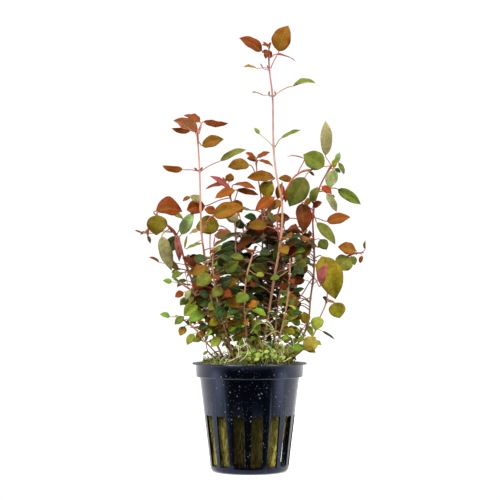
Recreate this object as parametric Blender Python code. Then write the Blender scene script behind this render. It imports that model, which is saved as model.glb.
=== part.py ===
"""A potted Ludwigia repens: net pot, rock wool plug, root mat, shoots and large leaves.

Places are in millimetres, with X to the right, Y away from the front and Z up,
from the middle of the pot's foot.
"""

import collections
import math
import random

import bmesh
import bpy
from mathutils import Matrix, Vector, noise
from mathutils.bvhtree import BVHTree

MM = 0.001
UP = Vector((0, 0, 1))

# The net pot
RIM_RADIUS = 26.0
POT_HEIGHT = 48.6
COLLAR_RADIUS = 24.4
COLLAR_FOOT = 42.3
SHOULDER_RADIUS = 22.5
FOOT_RADIUS = 17.7
WALL = 0.9
FLOOR = 1.2
SLOTS = 15
SLOT_WIDTH = 5.2
SLOT_FOOT = 2.7
SLOT_REACH = (14, 24)
SLOT_TOP = 25.5
FIRST_SLOT = -80.0
DRAIN_HOLES = 6
DRAIN_RING = 10.5
DRAIN_RADIUS = 2.4
DRAIN_SIDES = 4
POT_SIDES = 30

# What fills the pot
PLUG_FOOT = 2.2
PLUG_TOP = 45.4
MAT_FOOT = 45.9
MAT_RADIUS = 22.4
MAT_TOP = 49.3
TUFTS = 16
TUFT_RADIUS = 1.0
TUFT_REACH = (4.0, 20.0)
TUFT_HEIGHT = (4.0, 10.0)
TUFT_SIDES = 4

# How the plant grows
STALK = 0.42
STEM_SIDES = 4
STEM_GAP = 0.35
SPARE = 0.35
BOW = 0.07
EYE_DISTANCE = 650.0
EYE_HEIGHT = 78.0
LEAF_SECTIONS = (0.18, 0.48, 0.8)
SMALL_SECTIONS = (0.28, 0.7)
PAIRED_SECTIONS = (0.42,)
CROWN_LEAVES = 2
SHARP_BEND = math.radians(60)
CUSHION_EDGE = -7.0
TINY_LENGTH = 5.4
DEPTH_TRIES = (0, -2, 2, -4, 4, -6, 6, -9, 9, -12, 12)
TURN_TRIES = (0, 25, -25, 50, -50, 80)
SEED = 11

TONES = {
    "green": (0.16, 0.30, 0.05),
    "grey": (0.26, 0.37, 0.14),
    "dark": (0.05, 0.12, 0.03),
    "bright": (0.18, 0.42, 0.02),
    "gold": (0.36, 0.30, 0.03),
    "olive": (0.28, 0.18, 0.02),
    "orange": (0.45, 0.13, 0.01),
    "red": (0.32, 0.03, 0.01),
    "pink": (0.50, 0.17, 0.16),
    "magenta": (0.36, 0.05, 0.06),
    "scarlet": (0.48, 0.05, 0.01),
    "yellow": (0.42, 0.40, 0.06),
}

# Each shoot's stem: its thickness and the points it grows through, from the root mat up
STEMS = {
    "shoot_tall": (1.25, [
        (5, -6, 50), (7, -8, 62), (8.8, -9, 72), (11.5, -9, 88.5), (13.6, -9, 100), (14.8, -9, 112),
        (14.6, -8, 122), (12.2, -6, 134), (10.9, -4, 147), (10.5, -3, 169), (9, -3, 182), (8.8, -3, 192)]),
    "shoot_left_tall": (1.1, [
        (-8, -3, 50), (-11.5, -3, 60), (-15.7, -4, 72), (-18.8, -7, 85), (-20.6, -8, 98), (-21.8, -8, 107),
        (-22.2, -8, 116), (-22.7, -7, 135), (-23.5, -6, 149), (-23.6, -6, 155)]),
    "shoot_left_arch": (1.3, [
        (-12, 5, 50), (-17, 8, 62), (-23, 9, 78), (-28.5, 6, 92), (-33, 2, 105.5), (-37.6, -1, 111),
        (-43, -1, 111.5), (-47.5, -1, 107.5)]),
    "shoot_middle": (1.0, [
        (1, 3, 50), (2.5, 6, 62), (4, 9, 78), (5.5, 9, 95), (6, 8, 110), (5.2, 6, 124),
        (3.4, 4, 135), (2.9, 3, 141.5)]),
    "shoot_middle_left": (1.0, [
        (-3, -1, 50), (-4.5, 0, 62), (-5, 1, 80), (-6, 1, 98), (-6.7, 0, 112), (-8.6, -2, 123),
        (-11, -3, 130)]),
    "shoot_right": (1.15, [
        (14, 3, 50), (20, 4, 55), (24.4, 3, 61), (26.8, 2, 68), (27.7, 1, 78), (29, 0, 87),
        (29.4, -1, 96), (29, -2, 106), (28.9, -2, 116), (31.4, -2, 127), (36, -2, 136), (39.5, -2, 140.5)]),
    "shoot_right_arch": (1.1, [
        (10, -1, 50), (11.5, -1, 60), (12, -1, 68), (13.4, -1, 78), (15.4, -1, 88), (15, -1, 97),
        (13, -2, 108), (12.7, -2, 115), (15.3, -3, 123.5), (19.1, -4, 131.5), (24, -5, 135.4),
        (28.5, -6, 136)]),
    "shoot_far_right": (1.0, [
        (17, -5, 50), (24, -7, 54.5), (29.4, -6, 62), (31.5, -4, 68), (34.8, -2, 76), (36, 1, 85),
        (40, 4, 93), (46, 4, 97.5), (52, 3, 98.5)]),
    "shoot_low_left": (1.0, [
        (-9, -7, 50), (-13.6, -9, 63.5), (-19.5, -10, 72.5), (-25.7, -10, 80.6), (-32, -10, 85)]),
    "shoot_low_left_front": (0.85, [
        (-14, -9, 50), (-19, -13, 57), (-25, -15, 64), (-31, -15, 68.5), (-35, -14, 69.6)]),
    "shoot_front_left": (0.95, [
        (-7, -12, 50), (-10.5, -16, 62), (-14.5, -20, 76), (-16.5, -21, 90), (-16.4, -20, 101)]),
    "shoot_front": (0.95, [
        (0, -12, 50), (-1.5, -17, 62), (-2.5, -22, 76), (-1, -23, 89), (2, -22, 99)]),
    "shoot_front_right": (0.95, [
        (11, -12, 50), (13.6, -17, 60), (16.6, -20, 73), (18, -21, 85), (18.4, -20, 96)]),
    "shoot_back_left": (1.0, [
        (-8, 12, 50), (-12, 18, 68), (-16, 24, 86), (-18, 27, 102), (-17, 28, 114)]),
    "shoot_back": (1.0, [
        (0, 14, 50), (1, 22, 68), (1, 29, 86), (-2, 34, 104), (-5, 36, 117)]),
    "shoot_back_right": (1.0, [
        (9, 12, 50), (13, 18, 66), (19, 24, 82), (23, 29, 100), (25, 31, 114)]),
    "sprig_left": (0.7, [(-16, -1, 50), (-19, -3, 54), (-20, -5, 60)]),
    "sprig_front": (0.7, [(6, -14, 50), (6, -18, 54), (4, -20, 61)]),
    "sprig_right": (0.7, [(18, 7, 50), (20, 9, 55), (21, 10, 62)]),
}

# The leaves that show one by one. Those with a name are pieces of their own
Leaf = collections.namedtuple("Leaf", "shoot at base tip depth width roll tone name fold")


def leaf(shoot, at, base, tip, depth, width, roll, tone, name="", fold=14):
    """A leaf of the shoot: the height its stalk leaves the stem at, its blade's base and tip as (x, z),
    the depths of both, its width, and how far its upper face is rolled from the front towards the sky."""
    return Leaf(shoot, at, base, tip, depth, width, roll, tone, name, fold)


LEAVES = [
    leaf("shoot_tall", 182, (13, 190.4), (17.3, 202.3), (-5, -7), 9.4, 18, "olive", "leaf_tall_top"),
    leaf("shoot_tall", 188, (5.9, 190.9), (-4.4, 196.8), (-5, -8), 7.0, 28, "orange", "leaf_tall_left"),
    leaf("shoot_tall", 187, (12.8, 189.5), (21.4, 186.2), (-1, 4), 5.2, 74, "red", "leaf_tall_low_right"),
    leaf("shoot_tall", 169.5, (19.6, 175.4), (29.9, 176.8), (-4, -6), 5.2, 55, "green", "leaf_tall_right",
         38),
    leaf("shoot_tall", 146.2, (14, 150.8), (23, 154.8), (-5, -8), 3.4, 55, "green",
         "leaf_tall_lower_right"),
    leaf("shoot_tall", 182, (3.3, 182.9), (-2.5, 183.6), (-6, -9), 3.4, 62, "olive"),
    leaf("shoot_tall", 169.5, (6, 170.6), (1.2, 171.8), (-1, 3), 3.0, 86, "green"),
    leaf("shoot_tall", 146.2, (4.6, 152.6), (2.2, 155.4), (-3, -3), 2.0, 20, "bright"),
    leaf("shoot_left_tall", 149, (-23.9, 154), (-34.4, 159.6), (-9, -13), 9.4, 122, "red", "leaf_left_top"),
    leaf("shoot_left_tall", 150, (-26.4, 154.4), (-35.4, 154.8), (-5, -7), 3.4, -30, "red"),
    leaf("shoot_left_tall", 152.5, (-22.5, 158.4), (-30, 161.6), (-4, -2), 6.2, 50, "red"),
    leaf("shoot_left_tall", 152, (-21, 157.6), (-9.8, 156.8), (-8, -11), 4.6, -52, "red",
         "leaf_left_crown_right"),
    leaf("shoot_left_tall", 148, (-21.9, 147.5), (-12, 150.4), (-9, -12), 6.4, 22, "olive",
         "leaf_left_right"),
    leaf("shoot_left_tall", 134.9, (-30.4, 135.8), (-39.7, 137.5), (-9, -12), 4.4, -46, "orange",
         "leaf_left_left"),
    leaf("shoot_left_tall", 134.9, (-13.6, 140.5), (-1.8, 145.8), (-8, -10), 4.2, 36, "green",
         "leaf_left_long_right"),
    leaf("shoot_left_tall", 107, (-16.7, 115.7), (-2.8, 119.6), (-11, -14), 8.2, 18, "olive",
         "leaf_left_broad"),
    leaf("shoot_left_tall", 110, (-15.4, 117.2), (-20.6, 118.2), (-6, -6), 4.6, 20, "orange"),
    leaf("shoot_middle_left", 123, (-20.4, 119.8), (-28.8, 118), (-4, -3), 7.4, 12, "orange",
         "leaf_left_round"),
    leaf("shoot_left_tall", 118, (-22.8, 121.6), (-26.8, 124.8), (-5, -3), 4.6, 30, "grey"),
    leaf("shoot_left_tall", 119, (-26.9, 123.9), (-30.4, 122), (-3, -4), 2.4, 30, "red"),
    leaf("shoot_left_tall", 98, (-22, 103), (-29, 100.2), (-11, -15), 2.4, 50, "green"),
    leaf("shoot_left_arch", 108, (-42.4, 118.6), (-30.3, 118.6), (-5, -3), 12.2, 40, "orange",
         "leaf_arch_hood", 30),
    leaf("shoot_left_arch", 111.5, (-42, 115.6), (-42.5, 106.4), (-7, -8), 9.5, 6, "gold",
         "leaf_arch_round"),
    leaf("shoot_left_arch", 105, (-31.2, 106.8), (-25.8, 116.8), (-3, -4), 6.0, 16, "grey",
         "leaf_arch_right"),
    leaf("shoot_left_arch", 103, (-32.9, 106), (-31.4, 94.6), (-4, -6), 5.6, 24, "pink", "leaf_arch_folded",
         42),
    leaf("shoot_left_arch", 109, (-39.7, 106), (-35.2, 90.6), (-5, -8), 6.6, 14, "grey", "leaf_arch_long"),
    leaf("shoot_left_arch", 106, (-30.2, 114.2), (-38.4, 117), (1, 3), 4.0, 55, "gold"),
    leaf("shoot_left_arch", 100, (-33, 105.6), (-37.6, 99), (5, 8), 6.4, 20, "dark"),
    leaf("shoot_left_arch", 93, (-41, 94.2), (-45.6, 96.6), (3, 3), 2.2, 50, "orange"),
    leaf("shoot_left_arch", 108, (-46.2, 106.2), (-45, 102.6), (-3, -4), 1.8, 30, "red"),
    leaf("shoot_left_arch", 107.6, (-48.6, 107.4), (-52.2, 108.8), (-1, 0), 1.0, 30, "red"),
    leaf("shoot_middle", 134, (0, 138.7), (-9.8, 137.8), (1, -2), 6.4, 26, "olive", "leaf_middle_left"),
    leaf("shoot_middle", 128, (11.2, 133), (-1.1, 133), (1, -1), 6.4, 30, "olive", "leaf_middle_front"),
    leaf("shoot_middle", 122, (6.2, 124.3), (10.2, 131), (1, 0), 7.6, 16, "gold", "leaf_middle_round"),
    leaf("shoot_middle", 118, (11, 124), (2.4, 118), (2, 0), 6.2, 30, "orange"),
    leaf("shoot_middle", 140, (2.4, 141.8), (-1.8, 144), (2, 0), 3.4, 45, "orange"),
    leaf("shoot_middle", 140, (3.8, 142), (9.2, 144.4), (2, 1), 3.4, 45, "orange"),
    leaf("shoot_middle", 139, (4.4, 140.8), (10.8, 138), (0, -3), 3.4, 50, "orange"),
    leaf("shoot_middle_left", 124, (-8, 127), (-17.6, 133.8), (-6, -9), 4.2, 50, "magenta",
         "leaf_centre_magenta"),
    leaf("shoot_middle_left", 124, (-7, 129.9), (3, 127.8), (-4, -6), 4.8, 55, "red", "leaf_centre_right"),
    leaf("shoot_middle_left", 128, (-12, 129.8), (-20.4, 127.6), (-1, 2), 4.2, 56, "red"),
    leaf("shoot_middle_left", 118, (-6.8, 127.2), (-15.8, 123.6), (-5, -6), 5.2, 34, "orange"),
    leaf("shoot_middle_left", 128, (-9.4, 130.6), (-8.7, 134.6), (-3, -3), 4.4, 15, "orange"),
    leaf("shoot_middle_left", 119, (-8.6, 121.4), (-3.2, 117), (-4, -5), 6.4, 15, "orange"),
    leaf("shoot_middle_left", 106, (-13.8, 110.8), (-24.4, 110.3), (-3, -4), 8.8, 10, "gold",
         "leaf_centre_gold"),
    leaf("shoot_middle_left", 108, (-5, 113.2), (-11.2, 115.6), (-7, -8), 5.4, 14, "grey"),
    leaf("shoot_middle_left", 104, (-2.6, 109.6), (-7, 113.6), (5, 6), 5.0, 30, "dark"),
    leaf("shoot_middle_left", 100, (-3.6, 108), (-14.4, 103), (-6, -9), 4.8, 62, "dark",
         "leaf_centre_thin"),
    leaf("shoot_middle_left", 96, (1.7, 105.6), (-6, 99.6), (-5, -8), 5.2, 32, "orange"),
    leaf("shoot_right", 137.5, (34, 138), (24.6, 143.4), (-6, -6), 9.4, 14, "green",
         "leaf_high_right"),
    leaf("shoot_right_arch", 135.9, (25, 132.8), (17.9, 119.6), (-9, -10), 10.2, 10, "green",
         "leaf_right_hanging"),
    leaf("shoot_right_arch", 133, (24.2, 142), (17, 142.6), (-4, -2), 2.6, 80, "pink"),
    leaf("shoot_right_arch", 126, (19.6, 131.4), (13.2, 132.4), (3, 2), 3.6, 20, "olive"),
    leaf("shoot_right_arch", 121, (14.4, 129.6), (12.6, 122.8), (4, 4), 4.4, 10, "olive"),
    leaf("shoot_right_arch", 121, (18.2, 127.8), (16.2, 121.4), (1, 0), 3.4, 10, "red"),
    leaf("shoot_right", 138, (34.8, 142.8), (34.9, 158.6), (-3, -4), 5.8, 16, "grey", "leaf_right_upright"),
    leaf("shoot_right", 138, (38.4, 136.2), (35.9, 127.8), (-5, -7), 6.0, 22, "grey", "leaf_right_crown"),
    leaf("shoot_right", 126, (40.1, 127.2), (50.4, 120.3), (-4, -6), 5.2, -12, "green", "leaf_right_outer"),
    leaf("shoot_right", 117.5, (24, 121), (24.6, 107.9), (-6, -9), 8.0, 14, "red", "leaf_right_dark"),
    leaf("shoot_right", 114, (35, 113), (45.7, 114.9), (-4, -6), 5.8, 24, "orange", "leaf_right_orange"),
    leaf("shoot_right", 115, (30.8, 112.4), (39.2, 102.6), (-5, -8), 5.4, 26, "green", "leaf_right_green"),
    leaf("shoot_right", 127, (30.4, 128.2), (28.4, 121), (-4, -6), 4.4, 26, "green"),
    leaf("shoot_right", 126, (35.5, 125.4), (39.9, 117.1), (-1, -1), 4.4, 30, "grey"),
    leaf("shoot_right", 126, (33, 128.8), (37.4, 125.4), (-4, -5), 4.0, 30, "scarlet"),
    leaf("shoot_right", 116, (28.6, 119.4), (32.8, 121.6), (-4, -5), 3.6, 30, "scarlet"),
    leaf("shoot_right", 104, (32.2, 104.6), (35.2, 100), (-2, -3), 5.4, 20, "green"),
    leaf("shoot_right", 139, (39.8, 139.4), (40.9, 144.2), (-3, -3), 3.0, 30, "grey"),
    leaf("shoot_right", 140, (40.8, 139.6), (43.2, 134.2), (-3, -5), 2.8, 30, "green"),
    leaf("shoot_right", 137, (38.2, 137), (39.4, 141.6), (-6, -6), 2.8, 20, "gold"),
    leaf("shoot_right", 136, (39, 136.8), (41.4, 134.8), (-5, -5), 2.2, 20, "dark"),
    leaf("shoot_right", 87, (22, 78), (15.1, 74.8), (-4, -7), 7.0, 16, "olive"),
    leaf("shoot_right", 78, (21, 74.2), (18.2, 67.6), (-3, -5), 5.6, 18, "yellow"),
    leaf("shoot_right", 66, (25.3, 66.2), (24.8, 71.6), (-2, -3), 5.0, 20, "gold"),
    leaf("shoot_right", 96, (33, 96.8), (39.3, 77.5), (-7, -9), 12.8, 8, "gold", "leaf_right_largest"),
    leaf("shoot_right", 87, (32.2, 84), (34.8, 93.6), (-12, -14), 4.6, 20, "pink", "leaf_right_pink"),
    leaf("shoot_far_right", 98, (48.4, 99.8), (40.4, 101.4), (1, -1), 6.4, 24, "orange",
         "leaf_far_right_orange"),
    leaf("shoot_far_right", 96, (45.6, 96.2), (39.9, 90.6), (0, -2), 8.6, 10, "green",
         "leaf_far_right_green"),
    leaf("shoot_far_right", 97, (46.2, 96.8), (48, 92.8), (0, 0), 4.0, 24, "bright"),
    leaf("shoot_far_right", 98.4, (52.3, 100), (52.5, 104), (2, 2), 1.8, 50, "olive"),
    leaf("shoot_far_right", 98.2, (51, 97), (50, 93.6), (1, 1), 2.2, 30, "orange"),
    leaf("shoot_far_right", 77, (38.6, 75.8), (41, 68.8), (-3, -4), 8.0, 10, "gold",
         "leaf_far_right_heart"),
    leaf("shoot_far_right", 64, (31.2, 69.6), (29.8, 63.2), (-9, -11), 6.2, 16, "yellow"),
    leaf("shoot_far_right", 60, (29.9, 59.8), (24.5, 54.4), (-10, -12), 7.0, 12, "yellow"),
    leaf("shoot_far_right", 55, (23.6, 57), (20, 53.6), (-10, -12), 4.6, 30, "bright"),
    leaf("shoot_far_right", 64, (33, 63), (38.8, 59.2), (-5, -5), 1.6, 40, "dark"),
    leaf("shoot_low_left", 82, (-35.2, 85.4), (-39.2, 85.8), (-10, -11), 2.8, 30, "bright"),
    leaf("shoot_low_left", 80, (-30, 80.6), (-33.8, 78.4), (-12, -13), 3.6, 20, "orange"),
    leaf("shoot_low_left", 74, (-24, 75.4), (-29.8, 70), (-12, -14), 6.6, 14, "bright"),
    leaf("shoot_low_left", 68, (-20, 63), (-24.8, 58.6), (-12, -13), 3.8, 20, "olive"),
    leaf("shoot_low_left_front", 69.4, (-36, 69.4), (-40.6, 70.6), (-14, -15), 3.0, 30, "bright"),
    leaf("shoot_low_left_front", 68, (-30, 69.6), (-34, 66), (-17, -18), 3.8, 22, "green"),
    leaf("shoot_low_left_front", 66, (-29.4, 65), (-31.6, 60.8), (-16, -17), 3.8, 14, "gold"),
    leaf("shoot_low_left_front", 62, (-25.4, 61.8), (-28.4, 56.8), (-16, -18), 3.8, 14, "bright"),
    leaf("shoot_front_left", 90, (-17.8, 88.6), (-24, 83.6), (-22, -24), 6.8, 16, "green"),
    leaf("shoot_front_left", 80, (-12.8, 82.8), (-16.6, 78.6), (-23, -25), 5.6, 18, "green"),
    leaf("shoot_front_left", 70, (-12, 74), (-15.8, 69), (-21, -23), 6.0, 20, "dark"),
    leaf("shoot_front_left", 56, (-13.8, 60.2), (-17.4, 55.8), (-16, -18), 4.8, 20, "bright"),
    leaf("shoot_tall", 80, (5, 83.6), (-9, 90.2), (-13, -15), 6.4, 24, "dark", "leaf_front_teal"),
    leaf("shoot_front", 76, (-0.6, 79.4), (-6, 76), (-25, -27), 6.0, 20, "green"),
    leaf("shoot_front", 70, (-5, 73.8), (-9.6, 71), (-22, -24), 4.8, 30, "dark"),
    leaf("shoot_front", 62, (-6.6, 66.4), (-9.4, 62.6), (-19, -20), 4.0, 24, "bright"),
    leaf("shoot_front", 90, (2.8, 88.6), (6.8, 88.2), (-24, -25), 2.8, 30, "bright"),
    leaf("shoot_front_right", 90, (13.6, 87.8), (9.4, 86.4), (-24, -25), 3.2, 30, "green"),
    leaf("shoot_front_right", 79, (19.6, 80.8), (24.8, 82.4), (-22, -22), 2.8, 24, "dark"),
]

# The places between the leaves that stay clear, measured like the stems: x, z and the radius
GAPS = [
    (26, 86, 3.6), (25, 80, 3.4), (24.8, 75, 2.6), (31.5, 81, 3.0), (32, 74, 2.6), (19.5, 65.5, 1.8),
    (18, 118, 2.8), (18.5, 113.4, 2.4), (12, 118, 1.8), (5.5, 112.5, 1.6), (0, 121, 3.0), (5, 115.8, 1.8),
    (3, 101, 1.6), (5, 98, 2.0), (26, 110, 1.6), (28, 99.5, 1.2), (-25, 105, 3.0), (-24.6, 98.4, 1.6),
    (-18.5, 104, 3.2), (-19.4, 100.2, 1.8), (-13, 109, 2.2),
]

# The smaller leaves along a shoot: first and last height, step between pairs, and the blade's length
PAIRS = {
    "shoot_tall": (62, 112, 17, 6.4),
    "shoot_left_tall": (62, 96, 12, 6.8),
    "shoot_left_arch": (62, 98, 11, 7.4),
    "shoot_middle": (64, 118, 11, 8.4),
    "shoot_middle_left": (60, 98, 10, 7.8),
    "shoot_right": (64, 112, 16, 5.8),
    "shoot_right_arch": (66, 118, 11, 7.4),
    "shoot_far_right": (58, 92, 16, 5.4),
    "shoot_low_left": (60, 82, 8, 5.2),
    "shoot_low_left_front": (58, 66, 7, 4.8),
    "shoot_front_left": (62, 96, 10, 6.0),
    "shoot_front": (62, 96, 9, 6.4),
    "shoot_front_right": (60, 92, 9, 6.0),
    "shoot_back_left": (62, 112, 12, 9.6),
    "shoot_back": (62, 114, 12, 9.6),
    "shoot_back_right": (62, 112, 12, 9.6),
    "sprig_left": (52.5, 58, 3.6, 3.8),
    "sprig_front": (52.5, 58, 3.4, 3.8),
    "sprig_right": (52.5, 58, 3.4, 3.8),
}


def in_view(x, depth, z):
    """A place measured in the plane of the pot's axis, moved along the line of sight to its depth."""
    grow = 1 + depth / EYE_DISTANCE
    return Vector((x * grow, depth, EYE_HEIGHT + (z - EYE_HEIGHT) * grow))


def point_at_height(route, height):
    """The point of the route at this height, and the way it runs there."""
    for low, high in zip(route, route[1:]):
        if (low.z - height) * (high.z - height) <= 0 and low.z != high.z:
            share = (height - low.z) / (high.z - low.z)
            return low.lerp(high, share), (high - low).normalized()
    nearest = min(range(1, len(route)), key=lambda i: abs(route[i].z - height))
    return route[nearest], (route[nearest] - route[nearest - 1]).normalized()


def across(way):
    """A direction square to the given one, level where it can be."""
    side = way.cross(UP)
    if side.length < 0.05:
        side = way.cross(Vector((0, 1, 0)))
    return side.normalized()


def joined_rings(rings, tip=None):
    """Vertices and faces of a closed form through rings of points, ending in a point or a flat cap."""
    sides = len(rings[0])
    points = [point for ring in rings for point in ring]
    faces = [tuple(reversed(range(sides)))]
    for row in range(len(rings) - 1):
        low = row * sides
        for side in range(sides):
            after = (side + 1) % sides
            faces.append((low + side, low + after, low + sides + after, low + sides + side))
    last = (len(rings) - 1) * sides
    if tip is None:
        faces.append(tuple(range(last, last + sides)))
    else:
        points.append(tip)
        faces += [(last + side, last + (side + 1) % sides, len(points) - 1) for side in range(sides)]
    return points, faces


def tube(route, radii, sides):
    """A round closed form along the route. Its rings turn as little as they can."""
    side = across(route[1] - route[0])
    rings = []
    for i, centre in enumerate(route):
        way = (route[min(i + 1, len(route) - 1)] - route[max(i - 1, 0)]).normalized()
        side = (side - way * side.dot(way)).normalized()
        other = way.cross(side)
        turns = [math.tau * k / sides for k in range(sides)]
        rings.append([centre + (side * math.cos(t) + other * math.sin(t)) * radii[i] for t in turns])
    return joined_rings(rings)


def blade_profile(along):
    """Half the blade's width at this share of its length, as a share of the widest."""
    return math.sin(math.pi * along**0.82) ** 0.8


class Placed:
    """A leaf in its place: where its stalk starts, where its blade runs, and which way it faces."""

    def __init__(self, spec, start, base, tip, roll, paired=False):
        self.spec = spec
        self.paired = paired
        self.start = start
        self.base = base
        self.tip = tip
        self.length = (tip - base).length
        self.way = (tip - base).normalized()
        front = Vector((0, -1, 0))
        front = (front - self.way * front.dot(self.way)).normalized()
        sky = self.way.cross(front)
        if sky.z < -0.02 or (abs(sky.z) <= 0.02 and sky.x < 0):
            sky = -sky
        turn = math.radians(roll)
        self.normal = front * math.cos(turn) + sky * math.sin(turn)
        self.side = self.way.cross(self.normal).normalized()

    def lowered(self, amount):
        """The same leaf with its blade moved back along its own normal."""
        self.base = self.base - self.normal * amount
        self.tip = self.tip - self.normal * amount
        return self

    def stalk(self, share):
        """The middle of the stalk, from the stem at 0 to the blade at 1."""
        reach = (self.base - self.start).length
        early = self.start + (self.base - self.start) * 0.35 + UP * reach * 0.12
        late = self.base - self.way * reach * 0.3
        back = 1 - share
        return (self.start * back**3 + early * 3 * back**2 * share
                + late * 3 * back * share**2 + self.base * share**3)

    def midrib(self, along):
        rise = BOW * self.length * 4 * along * (1 - along)
        return self.base.lerp(self.tip, along) + self.normal * rise

    def section(self, centre, half, thick, fold=0.0):
        """Four points round the centre: an edge, the under face, the other edge and the upper face."""
        lift = self.normal * half * math.sin(fold)
        reach = self.side * half * math.cos(fold)
        return [centre - reach + lift, centre - self.normal * thick,
                centre + reach + lift, centre + self.normal * thick]

    def stalk_section(self, share):
        """A section of the stalk, square to the way that it runs there."""
        near = self.stalk(min(share + 0.05, 1)) - self.stalk(max(share - 0.05, 0))
        turn = self.way.rotation_difference(near)
        side = turn @ self.side * STALK
        face = turn @ self.normal * STALK
        centre = self.stalk(share)
        return [centre - side, centre - face, centre + side, centre + face]

    def solid(self, clearance=0.0):
        """Vertices and faces of the leaf, made fuller by the clearance."""
        small = not self.spec.name
        fold = math.radians(self.spec.fold)
        rings = [self.stalk_section(0)]
        half = self.spec.width / 2 + clearance
        thick = 0.33 + clearance
        if not small and (self.base - self.start).angle(self.way) > SHARP_BEND:
            rings.append(self.stalk_section(0.6))
        if self.length > TINY_LENGTH or not small:
            rings.append(self.section(self.base, STALK, STALK))
        if self.paired or self.length <= TINY_LENGTH:
            sections = PAIRED_SECTIONS
        else:
            sections = SMALL_SECTIONS if small else LEAF_SECTIONS
        for along in sections:
            width = max(half * blade_profile(along), STALK)
            rings.append(self.section(self.midrib(along), width, thick, fold))
        if small:
            rings = [ring[:3] for ring in rings]
        return joined_rings(rings, self.tip + self.way * clearance)


def tree_of(solid):
    points, faces = solid
    return BVHTree.FromPolygons(points, faces)


def free(found, placed):
    """True if the leaf crosses nothing that is placed, apart from the stem that it is one piece with."""
    tree = tree_of(found.solid(SPARE))
    stem = "" if found.spec.name else found.spec.shoot
    return not any(tree.overlap(other) for name, other in placed if not stem or name != stem)


def mat_height(x, y):
    """The root mat's upper face: low lumps, and a mound of moss on the left."""
    spread = math.hypot(x, y) / MAT_RADIUS
    mound = 2.6 * math.exp(-((x + 12) ** 2 + (y + 6) ** 2) / 72)
    lumps = 0.9 * noise.noise(Vector((x, y, 3)) / 5)
    return MAT_TOP + mound + lumps - 1.2 * spread**4


def route_of(shoot):
    """The stem's route, its first point just clear of the root mat."""
    thickness, points = STEMS[shoot]
    places = [in_view(*point) for point in points]
    foot = places[0]
    foot.z = mat_height(foot.x, foot.y) + STEM_GAP + thickness * 0.4
    return places


def stem_solid(shoot):
    thickness = STEMS[shoot][0]
    route = route_of(shoot)
    radii = [thickness / 2 * (1 - 0.4 * i / (len(route) - 1)) for i in range(len(route))]
    return tube(route, radii, STEM_SIDES)


def placed_leaf(spec, route, thickness, shift):
    """A leaf from the table, its blade moved in depth by the shift."""
    root, _ = point_at_height(route, spec.at)
    base = in_view(spec.base[0], spec.depth[0] + shift, spec.base[1])
    tip = in_view(spec.tip[0], spec.depth[1] + shift, spec.tip[1])
    out = base - root
    out = (out - UP * out.z * 0.6).normalized()
    gap = thickness / 2 + SPARE + STALK if spec.name else thickness / 5
    found = Placed(spec, root + out * gap, base, tip, spec.roll)
    rise = BOW * found.length + spec.width / 2 * math.sin(math.radians(spec.fold))
    return found.lowered(rise / 2)


def table_leaves(routes, placed):
    """The leaves of the table, each at the first depth where it is free."""
    grown = []
    for spec in LEAVES:
        thickness = STEMS[spec.shoot][0]
        for shift in DEPTH_TRIES:
            found = placed_leaf(spec, routes[spec.shoot], thickness, shift)
            if free(found, placed):
                grown.append(found)
                placed.append((spec.name, tree_of(found.solid())))
                break
    return grown


def pair_tone(height, draw):
    """A tone for a small leaf: bright at the foot, green and dark in the middle, redder above."""
    if height < 60:
        return "bright"
    if height < 80:
        return draw.choice(("green", "dark", "green", "olive", "bright"))
    return draw.choice(("dark", "green", "olive", "orange", "red", "grey"))


def side_leaf(shoot, root, height, turn, length, draw):
    """A small leaf on its stalk, to the side of the stem that the turn gives."""
    out = Vector((math.cos(turn), math.sin(turn), 0))
    reach = draw.uniform(0.35, 0.75) * length
    base = root + out * reach + UP * reach * draw.uniform(0.1, 0.6)
    way = out + UP * draw.uniform(-0.5, 0.5) + across(out) * draw.uniform(-0.4, 0.4)
    tip = base + way.normalized() * length
    width = length * draw.uniform(0.55, 0.75)
    spec = leaf(shoot, height, (0, 0), (0, 0), (0, 0), width, 0, pair_tone(height, draw))
    return Placed(spec, root + out * STEMS[shoot][0] / 5, base, tip, draw.uniform(20, 80), paired=True)


def as_seen(place):
    """The x and z at which a place is seen in the plane of the pot's axis."""
    grow = 1 + place.y / EYE_DISTANCE
    return place.x / grow, EYE_HEIGHT + (place.z - EYE_HEIGHT) / grow


def in_gap(found):
    """True if the blade's middle or tip is in a place that stays clear."""
    for place in (found.tip, (found.base + found.tip) / 2):
        x, z = as_seen(place)
        if any(math.hypot(x - middle, z - height) < radius for middle, height, radius in GAPS):
            return True
    return False


def paired_leaves(routes, placed):
    """Opposite pairs along each shoot, each pair square to the last. One with no free place isn't grown."""
    draw = random.Random(SEED)
    grown = []
    for shoot, (low, high, step, length) in PAIRS.items():
        height = low
        quarter = draw.uniform(0, math.pi)
        while height <= high:
            root, _ = point_at_height(routes[shoot], height)
            size = length * draw.uniform(0.75, 1.15)
            for half in (0, math.pi):
                for turn in TURN_TRIES:
                    angle = quarter + half + math.radians(turn)
                    found = side_leaf(shoot, root, height, angle, size, draw)
                    if not in_gap(found) and free(found, placed):
                        grown.append(found)
                        placed.append(("", tree_of(found.solid())))
                        break
            quarter += math.pi / 2
            height += step * draw.uniform(1.05, 1.45)
    return grown


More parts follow.
